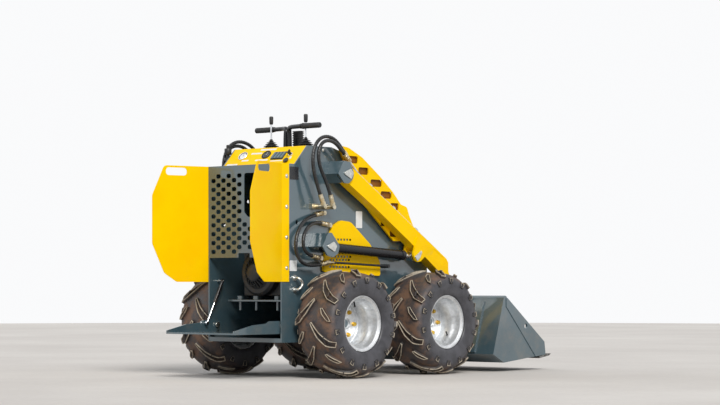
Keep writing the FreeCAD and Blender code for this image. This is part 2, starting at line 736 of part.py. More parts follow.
def arm_profile():
    """Beam from the pivot's hub down to the leg's round end, clockwise from the top."""
    foot = BUCKET_PIVOT[0]
    return [
        (96, 1098),
        BEAM_CREST,
        (*BEAM_END, 12),
        (foot - 100, 600),
        (foot - 98, 548, 20),
        (foot - 22, 400, 60),
        (foot + 30, 215, 80),
        (foot + 35, 140),
        (foot, 105, 30),
        (foot - 35, 140),
        (foot - 42, 240, 80),
        (foot - 54, 350, 60),
        (foot - 95, 450, 60),
        (foot - 181, 549, 40),
        (foot - 309, 633),
        (305, 886),
        (120, 990),
        (60, 1030, 20),
    ]


def arm_beam():
    beam = side_slab(arm_profile(), ARM_INNER, ARM_OUTER)
    hub = across(ARM_PIVOT, ARM_INNER, ARM_OUTER, ARM_HUB_RADIUS)
    foot = across(BUCKET_PIVOT, ARM_INNER, ARM_OUTER, LEG_END_RADIUS)
    y, z = LIFT_HEAD
    lug_points = [(y + 8, z + 117, 12), (y + 71, z + 1), (y + 30, z - 28, 30), (y - 10, z - 35, 26), (y - 34, z + 8, 24)]
    lug_plate = side_slab(lug_points, ARM_OUTER - 1, ARM_OUTER + LUG_PLATE_SHEET)
    solid = fused([beam, hub, foot, lug_plate])
    y, z = BEAM_END[0] - 74, BEAM_END[1] + 8
    corners = [(y - 58, z + 6, 6), (y + 33, z - 44, 6), (y + 49, z - 4, 6), (y - 34, z + 43, 6)]
    solid = solid.cut(side_slab(corners, ARM_OUTER - POCKET_DEPTH, ARM_OUTER + 1))
    reach = (ARM_INNER - 9, ARM_OUTER + 20)
    solid = solid.cut(across(ARM_PIVOT, *reach, ARM_PIN_RADIUS + PIN_FIT))
    return solid.cut(across(BUCKET_PIVOT, *reach, BUCKET_PIN_RADIUS + PIN_FIT))


def gusset():
    """Arched plate on the inner face of the beam, with seven round-ended slots."""
    outer_face = ARM_INNER - SEAT
    plate = side_slab(
        [
            (92, 1202, 10),
            (171, 1192, 60),
            (278, 1147, 90),
            (424, 1052, 120),
            (529, 974, 90),
            (598, 908, 20),
            (648, 896, 28),
            (668, 850, 28),
            (760, 700, 20),
            (690, 640, 18),
            (640, 604, 28),
            (620, 640, 16),
            (640, 713, 20),
            (537, 711, 12),
            (279, 916, 60),
            (150, 1000, 30),
            (175, 1050, 20),
            (140, 1120, 20),
        ],
        outer_face - GUSSET_SHEET,
        outer_face,
    )
    slots = [
        (205, 1131, 82),
        (290, 1075, 82),
        (394, 1015, 95),
        (476, 955, 92),
        (545, 895, 70),
        (452, 808, 44),
        (545, 752, 80),
    ]
    cutters = [slotted_hole((y, z), length, SLOT_HEIGHT) for y, z, length in slots]
    return plate.cut(cutters)


def lift_arm():
    beam, plate = arm_beam(), gusset()
    for side_name, side in SIDES:
        nodes[f"arm_{side_name}"] = on_side(beam, side)
        nodes[f"gusset_{side_name}"] = on_side(plate, side)
    reach = ARM_INNER - SEAT - GUSSET_SHEET - SEAT
    tube = across(CROSS_TUBE_PLACE, -reach, reach, CROSS_TUBE_RADIUS)
    ears = []
    start = TILT_EYE_WIDTH / 2 + EAR_GAP
    step = offset_aside(CROSS_TUBE_PLACE, TILT_FOOT, 20)
    low = (CROSS_TUBE_PLACE[0] - step[0], CROSS_TUBE_PLACE[1] - step[1])
    high = (CROSS_TUBE_PLACE[0] + step[0], CROSS_TUBE_PLACE[1] + step[1])
    ear = lobe(TILT_FOOT, TILT_EAR_RADIUS, low, high, start)
    ear = ear.cut(across(TILT_FOOT, 0, 100, TILT_PIN_RADIUS + PIN_FIT))
    for _, side in SIDES:
        ears.append(on_side(ear, side))
    nodes["upper_cross_tube"] = fused([tube] + ears)
    nodes["lower_cross_tube"] = across(LOWER_TUBE_PLACE, -ARM_INNER + SEAT, ARM_INNER - SEAT, LOWER_TUBE_RADIUS)
    pins = [across(TILT_FOOT, -start - EAR_SHEET - 6, start + EAR_SHEET + 6, TILT_PIN_RADIUS)]
    gap = 2.0
    for _, side in SIDES:
        eye_outer = ARM_MIDDLE + LIFT_EYE_WIDTH / 2
        stub = across(LIFT_HEAD, eye_outer + gap, ARM_OUTER - 1 - SEAT, LIFT_PIN_RADIUS)
        cap = pin_cap(LIFT_HEAD, ARM_OUTER + LUG_PLATE_SHEET + SEAT, HEAD_KEEPER, 0.1)
        pins += [on_side(stub, side), on_side(cap, side)]
    nodes["arm_pins"] = apart(pins)
    nodes["arm_pipes"] = apart([on_side(arm_pipes(), side) for _, side in SIDES])


def arm_pipes():
    """Steel pipes along the beam's top edge, held in clips."""
    lift = PIPE_RADIUS + 5
    pieces = []
    slope = arm_top(1) - arm_top(0)
    for hose, end_y in zip(ARM_HOSES, (700.0, 880.0)):
        way = (Vector(*hose[-1]) - Vector(*hose[-2])).normalize()
        start = Vector(*hose[-1]) + way * SEAT
        corner = start + way * ((arm_top(start.y) + lift - start.z) / (way.z - slope * way.y))
        end = (corner.x, end_y, arm_top(end_y) + lift)
        pieces.append(bent_tube([tuple(start), tuple(corner), end], PIPE_RADIUS))
    for y in (290.0, 480.0, 670.0):
        clip = block((286, y - 12, SEAT), (332, y + 12, lift + PIPE_RADIUS - 1))
        clip.rotate(Vector(0, y, 0), Vector(1, 0, 0), math.degrees(math.atan(slope)))
        clip.translate(Vector(0, 0, arm_top(y)))
        pieces.append(clip)
    return fused(pieces)


def arm_top(y):
    """Height of the beam's top edge."""
    (start, high), (end, low) = BEAM_CREST, BEAM_END
    return high + (y - start) * (low - high) / (end - start)


def cylinder(foot, head, x, barrel_radius, barrel_length, rod_radius, travel, eye_radius, eye_width, pin_radius):
    """Barrel with its foot's eye, and rod with its head's eye, as two solids.

    travel is how far the rod still moves out and in from here.
    """
    half = eye_width / 2
    at = lambda place: (x, *place)
    eye = across(foot, x - half, x + half, eye_radius)
    neck = rod(at(toward(foot, head, eye_radius / 2)), at(toward(foot, head, eye_radius + 10)), half - 1)
    shell = rod(at(toward(foot, head, eye_radius + 6)), at(toward(foot, head, barrel_length)), barrel_radius)
    gland = rod(at(toward(foot, head, barrel_length - 26)), at(toward(foot, head, barrel_length)), barrel_radius + 3)
    length = math.dist(foot, head)
    stroke, retract = travel
    inside = barrel_length - stroke - 40
    bore = rod(at(toward(foot, head, inside - retract - 10)), at(toward(foot, head, barrel_length + 5)), rod_radius + ROD_FIT)
    barrel = fused([eye, neck, shell, gland]).cut(bore)
    barrel = barrel.cut(across(foot, x - half - 5, x + half + 5, pin_radius + PIN_FIT))
    head_eye = across(head, x - half, x + half, eye_radius)
    shaft = rod(at(toward(foot, head, inside)), at(toward(foot, head, length - eye_radius + 4)), rod_radius)
    ram = fused([head_eye, shaft]).cut(across(head, x - half - 5, x + half + 5, pin_radius + PIN_FIT))
    return barrel, ram


def cylinders():
    barrel, ram = cylinder(
        LIFT_FOOT, LIFT_HEAD, ARM_MIDDLE, LIFT_BARREL_RADIUS, LIFT_BARREL_LENGTH, LIFT_ROD_RADIUS,
        (LIFT_STROKE, 0), LIFT_EYE_RADIUS, LIFT_EYE_WIDTH, LIFT_PIN_RADIUS,
    )
    for side_name, side in SIDES:
        nodes[f"lift_barrel_{side_name}"] = on_side(barrel, side)
        nodes[f"lift_rod_{side_name}"] = on_side(ram, side)
    nodes["tilt_barrel"], nodes["tilt_rod"] = cylinder(
        TILT_FOOT, TILT_HEAD, 0, TILT_BARREL_RADIUS, TILT_BARREL_LENGTH, TILT_ROD_RADIUS,
        (TILT_STROKE, TILT_RETRACT), TILT_EYE_RADIUS, TILT_EYE_WIDTH, TILT_PIN_RADIUS,
    )


# Bucket side profile
BACK_FOOT = (BUCKET_PIVOT[0] + 41, 98.0)
BACK_HEAD = (BUCKET_PIVOT[0] + 138, 408.0)
HEEL = (BUCKET_PIVOT[0] + 139, 50.0)
LIP = (BUCKET_PIVOT[0] + 521, 86.0)
EDGE_TIP = (BUCKET_PIVOT[0] + 576, 91.0)
CHEEK_HEAD = (BUCKET_PIVOT[0] + 157, 412.0)
CHEEK_FRONT = (BUCKET_PIVOT[0] + 512, 158.0)
CHEEK_TOE = (LIP[0], LIP[1] + 16)


def along_back(distance, behind):
    """A point on the bucket's back, distance up from its foot and behind its face."""
    y, z = toward(BACK_FOOT, BACK_HEAD, distance)
    step = offset_aside(BACK_FOOT, BACK_HEAD, behind)
    return (y + step[0], z + step[1])


def lobe(place, radius, low, high, start):
    """A pin's ear: a round end at place, tapering from two points on its plate."""
    arm = Vector(*place, 0)
    sides = []
    for point, turn in ((low, 1), (high, -1)):
        away = Vector(*point, 0) - arm
        reach = away.Length
        spread = math.acos(radius / reach) * turn
        away.normalize()
        edge = Vector(
            away.x * math.cos(spread) + away.y * math.sin(spread),
            away.y * math.cos(spread) - away.x * math.sin(spread),
            0,
        )
        touch = arm + edge * radius
        sides.append((touch.x, touch.y))
    web = side_slab([low, high, sides[1], sides[0]], start, start + EAR_SHEET)
    return fused([web, across(place, start, start + EAR_SHEET, radius)])


def bucket():
    """Floor and back from one bent sheet, two cheeks with a doubled front, and the edge."""
    wide, sheet = BUCKET_HALF_WIDTH - CHEEK_STRIP, BUCKET_SHEET
    side = BUCKET_SIDE_SHEET
    head_inner = along_back(math.dist(BACK_FOOT, BACK_HEAD), -sheet)
    foot_inner = along_back(5, -sheet)
    floor = [
        BACK_HEAD,
        BACK_FOOT,
        HEEL,
        LIP,
        (LIP[0], LIP[1] + sheet),
        (HEEL[0] + 3, HEEL[1] + sheet),
        foot_inner,
        head_inner,
    ]
    shell = side_slab(floor, -wide, wide)
    cheek = [BACK_HEAD, (*CHEEK_HEAD, 6), (*CHEEK_FRONT, 10), (*CHEEK_TOE, 8), LIP, HEEL, BACK_FOOT]
    strip_foot = toward(LIP, HEEL, 92)
    strip = [(*CHEEK_HEAD, 6), (*CHEEK_FRONT, 10), (*CHEEK_TOE, 8), LIP, strip_foot, (CHEEK_HEAD[0] + 1, CHEEK_HEAD[1] - 56)]
    panel = fused([side_slab(cheek, wide - side, wide), side_slab(strip, wide, wide + CHEEK_STRIP)])
    panel = panel.cut(across(CHEEK_HOLE, wide - side - 1, wide + CHEEK_STRIP + 1, CHEEK_HOLE_RADIUS))
    cheeks = [on_side(panel, s) for _, s in SIDES]
    top, height = CHEEK_HEAD
    hook = [BACK_HEAD, head_inner, (top + 9, height - 12), (top + 7, height), (top - 7, height + 6)]
    nodes["bucket_shell"] = fused([shell, side_slab(hook, -wide, wide)] + cheeks)
    back = toward(EDGE_TIP, LIP, EDGE_LENGTH)
    thick = EDGE_THICKNESS
    edge = [
        EDGE_TIP,
        (EDGE_TIP[0] - 30, EDGE_TIP[1] + 1.0),
        (LIP[0] + SEAT, LIP[1] + sheet),
        (LIP[0] + SEAT, LIP[1] - SEAT),
        (back[0], back[1] - 3 - SEAT),
        (back[0], back[1] - 3 - thick),
        (EDGE_TIP[0] - 20, EDGE_TIP[1] - thick),
    ]
    nodes["cutting_edge"] = side_slab(edge, -BUCKET_HALF_WIDTH, BUCKET_HALF_WIDTH)


def quick_plate():
    sheet, gap = QUICK_PLATE_SHEET, SEAT
    plate = side_slab(
        [along_back(8, gap), along_back(300, gap), along_back(300, gap + sheet), along_back(8, gap + sheet)],
        -QUICK_PLATE_HALF_WIDTH, QUICK_PLATE_HALF_WIDTH,
    )
    pieces = [plate]
    inner_ear, outer_ear = ARM_INNER - 4 - EAR_SHEET, ARM_OUTER + 4
    tilt_ear = TILT_EYE_WIDTH / 2 + EAR_GAP
    half = []
    for start in (inner_ear, outer_ear):
        half.append(lobe(BUCKET_PIVOT, QUICK_EAR_RADIUS, along_back(12, gap + 2), along_back(95, gap + 2), start))
    half.append(lobe(TILT_HEAD, QUICK_EAR_RADIUS - 6, along_back(115, gap + 2), along_back(235, gap + 2), tilt_ear))
    half.append(across(TILT_HEAD, TILT_EYE_WIDTH / 2 + 2, tilt_ear + EAR_SHEET + 5, TILT_PIN_RADIUS))
    half.append(across(BUCKET_PIVOT, inner_ear - 4, outer_ear + EAR_SHEET + 4, BUCKET_PIN_RADIUS))
    for _, side in SIDES:
        pieces += [on_side(piece, side) for piece in half]
    nodes["quick_plate"] = fused(pieces)


def platform():
    wide, sheet = PLATFORM_HALF_WIDTH, PLATFORM_SHEET
    rear, floor = PLATFORM_REAR, PLATFORM_FLOOR
    tray = block((-wide, rear, floor - sheet), (wide, -300, floor))
    cheek = [
        (rear, floor - sheet, 4), (rear, 246, 4), (-502, 275, 20), (-405, 282, 12), (-383, 293, 12),
        (-262, 295, 24), (-258, 246, 24), (-311, floor - sheet, 6),
    ]
    pieces = [tray]
    for _, side in SIDES:
        pieces.append(on_side(side_slab(cheek, wide - sheet, wide), side))
    shape = fused(pieces)
    for _, side in SIDES:
        shape = shape.cut(on_side(across(PLATFORM_PIVOT, wide - sheet - 1, wide + 1, PLATFORM_PIN_RADIUS + PIN_FIT), side))
    stud_end = STRUT_X - STRUT_EYE_WIDTH / 2 - 2
    stud = across(STRUT_HEAD, -wide + sheet - 1, stud_end, 5)
    nodes["platform"] = fused([shape, stud])
    pins = []
    for _, side in SIDES:
        shaft = across(PLATFORM_PIVOT, wide - sheet - 8, SHELL_INNER - SEAT, PLATFORM_PIN_RADIUS)
        collar = across(PLATFORM_PIVOT, wide + 1.5, SHELL_INNER - SEAT, PLATFORM_BOSS_RADIUS)
        head = across(PLATFORM_PIVOT, wide - sheet - 12, wide - sheet - 4, PLATFORM_PIN_RADIUS + 5)
        pins.append(on_side(fused([shaft, collar, head]), side))
    top_stud = across(STRUT_FOOT, -SHELL_INNER + SEAT, STRUT_X + STRUT_EYE_WIDTH / 2 + 3, 4)
    pins.append(top_stud)
    nodes["platform_pins"] = apart(pins)
    foot, head = STRUT_FOOT, STRUT_HEAD
    at = lambda place: (STRUT_X, *place)
    length = math.dist(foot, head)
    half = STRUT_EYE_WIDTH / 2
    eye = across(foot, STRUT_X - half, STRUT_X + half, STRUT_EYE_RADIUS)
    tube = rod(at(toward(foot, head, 6)), at(toward(foot, head, STRUT_TUBE_LENGTH)), STRUT_TUBE_RADIUS)
    bore = rod(at(toward(foot, head, STRUT_EYE_RADIUS + 1)), at(toward(foot, head, STRUT_TUBE_LENGTH + 2)), STRUT_ROD_RADIUS + ROD_FIT)
    strut = fused([eye, tube]).cut(bore).cut(across(foot, STRUT_X - half - 1, STRUT_X + half + 1, 4 + PIN_FIT))
    nodes["strut_tube"] = strut
    lower_eye = across(head, STRUT_X - half, STRUT_X + half, STRUT_EYE_RADIUS)
    shaft = rod(at(toward(foot, head, STRUT_TUBE_LENGTH - 9)), at(toward(foot, head, length - 6)), STRUT_ROD_RADIUS)
    nodes["strut_rod"] = fused([lower_eye, shaft])


def controls():
    """Joysticks in their bellows, the two staggered handle bars and the dash's pieces."""
    base = DECK_TOP + SEAT
    boot = [(0, 0), (0, 44), (8, 44), (8, 36), (22, 34), (22, 26), (36, 24), (36, 16), (52, 12), (52, 0)]
    knob = [(0, 0), (0, 8), (10, STICK_KNOB_RADIUS), (38, STICK_KNOB_RADIUS), (44, 7), (44, 0)]
    stick = fused([
        turned(boot, (STICK_X, STICK_Y, base), (0, 0, 1)),
        rod((STICK_X, STICK_Y, base + 50), (STICK_X, STICK_Y, STICK_TOP - 40), STICK_ROD_RADIUS),
        turned(knob, (STICK_X, STICK_Y, STICK_TOP - 44), (0, 0, 1)),
    ])
    nodes["joysticks"] = apart([on_side(stick, side) for _, side in SIDES])
    post, y, z = HANDLE_POST_X, STICK_Y, HANDLE_HEIGHT
    bars = [block((-post - 19, y - 30, base), (post + 19, y + 30, base + 8))]
    for _, side in SIDES:
        shift = -side * HANDLE_STAGGER
        route = [(post, y, base + 4), (post, y, z - 35), (post + 30, y + shift / 2, z), (115, y + shift, z)]
        bars.append(on_side(bent_tube(route + [(HANDLE_REACH, y + shift, z)], HANDLE_RADIUS), side))
        bars.append(on_side(rod((150, y + shift, z), (HANDLE_REACH + 2, y + shift, z), GRIP_RADIUS), side))
    nodes["handle_bars"] = fused(bars)
    rise, run = DASH_HEAD[1] - DASH_FOOT[1], DASH_HEAD[0] - DASH_FOOT[0]
    middle = Vector(0, (DASH_HEAD[0] + DASH_FOOT[0]) / 2, (DASH_HEAD[1] + DASH_FOOT[1]) / 2)
    turn = FreeCAD.Rotation(Vector(1, 0, 0), math.degrees(math.atan2(rise, run)))
    fittings = [Part.makeCylinder(GAUGE_RADIUS, 9, Vector(x, up, SEAT)) for x, up in ((-155, 8), (8, 5))]
    for index in range(4):
        left = 62.0 + index * 23
        fittings.append(block((left, -24, SEAT), (left + 19, 18, 9)))
    fittings.append(Part.makeCylinder(11, 14, Vector(180, 0, SEAT)))
    fittings.append(Part.makeCylinder(9, 18, Vector(200, -40, SEAT)))
    for piece in fittings:
        piece.Placement = FreeCAD.Placement(middle, turn).multiply(piece.Placement)
    nodes["instruments"] = apart(fittings + [breather(base)])


def breather(base):
    """The ribbed box that stands on the deck beside the handle bars' posts."""
    left, right, rear, front, rise = BREATHER_BOX
    box = block((left, rear, base), (right, front, base + rise))
    grooves = []
    for z in range(14, int(rise) - 6, 12):
        groove = block((left - 1, rear - 1, base + z), (right + 1, front + 1, base + z + 5))
        grooves.append(groove.cut(block((left + 4, rear + 4, base), (right - 4, front - 4, base + rise))))
    return box.cut(grooves)


def side_vents():
    """Arched covers with rows of holes on both side plates."""
    face = BODY_HALF_WIDTH + VENT_HEIGHT
    arch = [
        (-12, 543, 14), (-10, 610, 60), (55, 780, 50), (123, 812, 40),
        (200, 806, 60), (355, 693, 60), (437, 599, 40), (440, 524, 14),
    ]
    inside = [
        (-6, 549, 8), (-4, 610, 54), (60, 775, 44), (125, 806, 34),
        (198, 800, 54), (351, 689, 54), (431, 597, 34), (434, 530, 8),
    ]
    cover = side_slab(arch, BODY_HALF_WIDTH + SEAT, face)
    cover = cover.cut(side_slab(inside, BODY_HALF_WIDTH, face - VENT_SHEET))
    holes = []
    for row, z in enumerate((570.0, 588.0, 606.0, 624.0, 642.0, 712.0)):
        for index in range(7):
            y = 40.0 + index * 24 + (12 if row % 2 else 0)
            corners = [(y - 7, z - 5), (y + 7, z - 5), (y + 7, z + 5), (y - 7, z + 5)]
            holes.append(side_slab(corners, face - VENT_SHEET - 1, face + 1))
    cover = cover.cut(holes)
    for side_name, side in SIDES:
        nodes[f"side_vent_{side_name}"] = on_side(cover, side)


def tie_downs():
    handles = []
    for _, side in SIDES:
        x = BODY_HALF_WIDTH + SEAT
        route = [(x, -222, 512), (x + 34, -222, 512), (x + 34, -190, 482), (x + 34, -222, 452), (x, -222, 452)]
        bar = bent_tube(route, 7)
        feet = [across((-222, z), x, x + 6, 15) for z in (512.0, 452.0)]
        handles.append(on_side(fused([bar] + feet), side))
    nodes["tie_downs"] = apart(handles)


# Hose routes of the right side: from the chassis fittings over to the arm's pipes,
# and from the fittings round to the lift cylinder's port
ARM_HOSES = [
    [
        (330, -86, 905), (322, -130, 1010), (318, -150, 1110), (315, -128, 1190),
        (312, -70, 1236), (308, 5, 1240), (303, 75, 1208), (300, 140, 1140),
    ],
    [
        (330, -12, 905), (330, -40, 985), (328, -90, 1080), (326, -98, 1160),
        (324, -55, 1215), (322, 20, 1215), (322, 82, 1165), (322, 120, 1130),
    ],
]
SIDE_HOSES = [
    [
        (272, -40, 842), (272, -120, 828), (296, -210, 785), (308, -262, 715),
        (308, -262, 640), (304, -215, 585), (300, -120, 572), (300, -30, 588),
    ],
    [
        (272, 4, 790), (272, -60, 800), (290, -145, 782), (306, -205, 725),
        (306, -205, 665), (304, -165, 628), (300, -95, 618),
    ],
]


def elbow(end, neighbour, wall):
    """A fitting that turns from the side plate into a hose's end."""
    along = Vector(*neighbour) - Vector(*end)
    along.normalize()
    behind = Vector(*end) - along * ELBOW_REACH
    stem = rod((wall, behind.y, behind.z), (behind.x + FITTING_RADIUS - 2, behind.y, behind.z), FITTING_RADIUS)
    return fused([stem, rod(behind, end, FITTING_RADIUS - 1)])


def steel_pipe(end, neighbour, wall):
    """The hose's ferrule and a thin pipe that runs on forward to the side plate."""
    along = Vector(*neighbour) - Vector(*end)
    along.normalize()
    behind = Vector(*end) - along * ELBOW_REACH
    far = Vector(behind.x, PIPE_END[0], PIPE_END[1])
    stem = rod((wall, *PIPE_END), (far.x + PIPE_RADIUS + 2, *PIPE_END), PIPE_RADIUS + 4)
    return fused([rod(behind, end, FITTING_RADIUS - 1), rod(behind, far, PIPE_RADIUS), stem])


def hoses():
    arm_hoses, side_hoses = [], []
    for _, side in SIDES:
        arm_hoses += [on_side(bent_tube(route, HOSE_RADIUS), side) for route in ARM_HOSES]
        side_hoses += [on_side(bent_tube(route, HOSE_RADIUS), side) for route in SIDE_HOSES]
    nodes["arm_hoses"] = apart(arm_hoses)
    nodes["side_hoses"] = apart(side_hoses)
    blocks = []
    for _, side in SIDES:
        x = BODY_HALF_WIDTH
        manifold = block((x, -110, 868), (x + 22, 12, 892))
        ports = [elbow(route[0], route[1], x) for route in ARM_HOSES]
        blocks.append(on_side(fused([manifold] + ports), side))
        long_hose, short_hose = SIDE_HOSES
        for end, neighbour in (long_hose[:2], short_hose[:2], short_hose[:-3:-1]):
            blocks.append(on_side(elbow(end, neighbour, x), side))
        blocks.append(on_side(steel_pipe(long_hose[-1], long_hose[-2], x), side))
    nodes["hose_fittings"] = apart(blocks)


make_wheels()
side_plates()
shell_covers()
rear_screen()
flaps()
engine()
arm_brackets()
body_pins()
lift_arm()
cylinders()
bucket()
quick_plate()
platform()
controls()
side_vents()
tie_downs()
hoses()

whole = Part.makeCompound(list(nodes.values()))
box = whole.optimalBoundingBox(False)
to_origin = Vector(0, -(box.YMin + box.YMax) / 2, 0)
limits = (box.XMin, box.XMax, box.YMin, box.YMax, box.ZMin, box.ZMax)
print("moved by", round(to_origin.y, 3), "box", [round(v, 2) for v in limits])
for name, shape in nodes.items():
    placed = shape.translated(to_origin)
    placed.exportStep(f"parts/{name}.step")
    print(name, shape.ShapeType, len(shape.Solids), shape.isValid(), round(shape.Volume / 1000), "cm3")
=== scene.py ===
"""Finishes and fine detail of a mini skid steer loader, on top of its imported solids.

Lengths are in metres. Places taken from the machine's own drawing are given from
the rear axle's middle on the floor: X to the right, Y forward, Z up.
"""
import json
import math

import bmesh
import bpy
import numpy as np
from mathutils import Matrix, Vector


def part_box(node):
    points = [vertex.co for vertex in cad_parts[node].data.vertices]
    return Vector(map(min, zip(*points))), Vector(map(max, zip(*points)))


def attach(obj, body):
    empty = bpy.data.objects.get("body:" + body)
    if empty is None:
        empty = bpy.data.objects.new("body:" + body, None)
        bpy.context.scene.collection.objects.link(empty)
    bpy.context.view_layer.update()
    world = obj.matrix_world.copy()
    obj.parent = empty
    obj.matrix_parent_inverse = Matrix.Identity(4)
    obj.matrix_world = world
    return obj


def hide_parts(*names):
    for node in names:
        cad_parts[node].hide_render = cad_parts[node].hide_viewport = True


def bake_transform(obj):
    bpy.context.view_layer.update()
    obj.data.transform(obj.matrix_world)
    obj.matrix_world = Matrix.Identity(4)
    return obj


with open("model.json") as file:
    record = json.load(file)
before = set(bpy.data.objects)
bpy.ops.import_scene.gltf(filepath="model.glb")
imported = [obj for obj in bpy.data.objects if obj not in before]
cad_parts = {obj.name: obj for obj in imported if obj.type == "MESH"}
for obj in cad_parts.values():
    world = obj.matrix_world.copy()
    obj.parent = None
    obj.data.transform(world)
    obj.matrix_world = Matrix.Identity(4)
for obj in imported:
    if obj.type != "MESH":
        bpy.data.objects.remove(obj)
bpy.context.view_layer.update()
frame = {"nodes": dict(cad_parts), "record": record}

SIDES = (("right", 1.0), ("left", -1.0))
WHEELS = [(f"{axle}_{name}", side) for axle in ("rear", "front") for name, side in SIDES]
RIGHT, AHEAD, UP = np.eye(3)

# Points this close are one, edges this flat go, and edges this sharp stay hard
MERGE = 2e-6
FLAT_ANGLE = math.radians(0.6)
SHARP_ANGLE = math.radians(30)


def middle(node):
    low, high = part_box(node)
    return (np.array(low) + np.array(high)) / 2


SHIFT = middle("rim_rear_right")[1]


def at(x, y, z):
    """A place given from the rear axle's middle on the floor, in the frame's metres."""
    return np.array([x, y + SHIFT, z], float)


# Camera
CAMERA_PLACE = (7.518, -8.128, 0.4708)
CAMERA_TURN = 40.769
CAMERA_LENS = 105.58
CAMERA_SHIFT = 0.116


def make_camera():
    data = bpy.data.cameras.new("camera")
    data.lens = CAMERA_LENS
    data.sensor_width = 36.0
    data.shift_y = CAMERA_SHIFT
    data.clip_end = 200.0
    camera = bpy.data.objects.new("camera", data)
    camera.location = at(*CAMERA_PLACE)
    camera.rotation_euler = (math.radians(90), 0, math.radians(CAMERA_TURN))
    bpy.context.scene.collection.objects.link(camera)
    bpy.context.scene.camera = camera


make_camera()


# Shader maths
class Number:
    """A number socket. Operators on it add Math nodes to its material."""

    def __init__(self, finish, socket):
        self.finish = finish
        self.socket = socket

    def math(self, operation, *values):
        return self.finish.number("ShaderNodeMath", {"operation": operation}, *values)

    def __add__(self, other):
        return self.math("ADD", self, other)

    def __mul__(self, other):
        return self.math("MULTIPLY", self, other)

    def __sub__(self, other):
        return self.math("SUBTRACT", self, other)

    def __rsub__(self, other):
        return self.math("SUBTRACT", other, self)

    def above(self, low, high):
        """0 below low, 1 above high, and smooth between them."""
        settings = {"interpolation_type": "SMOOTHSTEP"}
        return self.finish.number("ShaderNodeMapRange", settings, self, low, high, 0.0, 1.0)

    def below(self, low, high):
        return 1 - self.above(low, high)

    def held(self):
        return self.math("MINIMUM", self.math("MAXIMUM", self, 0.0), 1.0)


class Finish:
    """A material that is built node by node around one Principled shader."""

    def __init__(self, name):
        self.material = bpy.data.materials.new(name)
        self.material.use_nodes = True
        self.tree = self.material.node_tree
        self.shader = self.tree.nodes["Principled BSDF"]
        self.place = self.node("ShaderNodeTexCoord", {}).outputs["Object"]

    def node(self, kind, settings, **sockets):
        node = self.tree.nodes.new(kind)
        for key, value in settings.items():
            setattr(node, key, value)
        for key, value in sockets.items():
            self.feed(node.inputs[key.replace("_", " ")], value)
        return node

    def feed(self, socket, value):
        if isinstance(value, Number):
            value = value.socket
        if isinstance(value, bpy.types.NodeSocket):
            self.tree.links.new(value, socket)
        else:
            socket.default_value = value

    def number(self, kind, settings, *values):
        node = self.node(kind, settings)
        for socket, value in zip(node.inputs, values):
            self.feed(socket, value)
        return Number(self, node.outputs[0])

    def noise(self, scale, detail=3.0, rough=0.55, stretch=None):
        place = self.place
        if stretch is not None:
            place = self.node("ShaderNodeMapping", {}, Vector=place, Scale=stretch).outputs[0]
        node = self.node(
            "ShaderNodeTexNoise", {}, Vector=place, Scale=scale, Detail=detail, Roughness=rough
        )
        return Number(self, node.outputs[0])

    def along(self, axis):
        """The object coordinate along X, Y or Z."""
        node = self.node("ShaderNodeSeparateXYZ", {}, Vector=self.place)
        return Number(self, node.outputs[axis])

    def mark(self, name):
        """A number that the mesh carries for each of its points."""
        node = self.node("ShaderNodeAttribute", {"attribute_name": name})
        return Number(self, node.outputs["Fac"])

    def blend(self, share, first, second):
        """first where share is 0 and second where it is 1."""
        node = self.node("ShaderNodeMix", {"data_type": "RGBA"})
        self.feed(node.inputs[0], share)
        self.feed(node.inputs[6], first)
        self.feed(node.inputs[7], second)
        return node.outputs[2]

    def bump(self, height, depth, strength=1.0):
        node = self.node("ShaderNodeBump", {}, Height=height, Distance=depth, Strength=strength)
        self.feed(self.shader.inputs["Normal"], node.outputs[0])

    def set(self, **sockets):
        for key, value in sockets.items():
            self.feed(self.shader.inputs[key.replace("_", " ")], value)
        return self.material


def linear(red, green, blue, opacity=1.0):
    """An sRGB colour, 0 to 255, as linear light."""
    values = [c / 255 for c in (red, green, blue)]
    return [c / 12.92 if c < 0.04045 else ((c + 0.055) / 1.055) ** 2.4 for c in values] + [opacity]


DUST = linear(150, 128, 104)


def painted(name, colour, shade, gloss=0.3, dust=0.35, coat=0.12, mirror=0.3, coat_index=1.5):
    """Sprayed steel: cloudy colour, fine orange peel, road dust low down and in specks."""
    finish = Finish(name)
    finish.set(Specular_IOR_Level=mirror, Coat_IOR=coat_index)
    cloud = finish.noise(5.0, 4.0)
    body = finish.blend(cloud.above(0.3, 0.75), linear(*colour), linear(*shade))
    low = finish.along(2).below(0.08, 0.75)
    film = finish.noise(9.0, 6.0, 0.65).above(0.42, 0.8)
    specks = finish.noise(160.0, 2.0).above(0.62, 0.74)
    dirt = (low * (film * 0.8 + specks * 0.5) * dust + specks * 0.06).held()
    scuffs = finish.noise(38.0, 5.0, 0.7, (1.0, 0.22, 1.0)).above(0.66, 0.72) * 0.12
    finish.bump(finish.noise(420.0, 2.0) + finish.noise(14.0, 2.0) * 0.4, 0.00035, 0.22)
    return finish.set(
        Base_Color=finish.blend(dirt, body, DUST),
        Roughness=(dirt * 0.5 + scuffs + finish.noise(60.0) * 0.08 + gloss).held(),
        Coat_Weight=coat,
        Coat_Roughness=0.08,
    )


def bare_metal(name, colour, shade, rough=0.3, grain=(1.0, 1.0, 1.0), peel=0.0):
    """Plated or bare metal: clouded tint, fine grain along one way, dull specks."""
    finish = Finish(name)
    cloud = finish.noise(45.0, 4.0, 0.65)
    brush = finish.noise(500.0, 3.0, 0.6, grain)
    spots = finish.noise(220.0, 2.0).above(0.6, 0.72)
    tint = finish.blend(cloud.above(0.35, 0.7), linear(*colour), linear(*shade))
    finish.bump(brush + spots * peel, 0.00012, 0.35)
    return finish.set(
        Base_Color=tint,
        Metallic=1.0 - spots * 0.25,
        Roughness=(cloud * 0.2 + brush * 0.12 + spots * 0.2 + rough - 0.1).held(),
    )


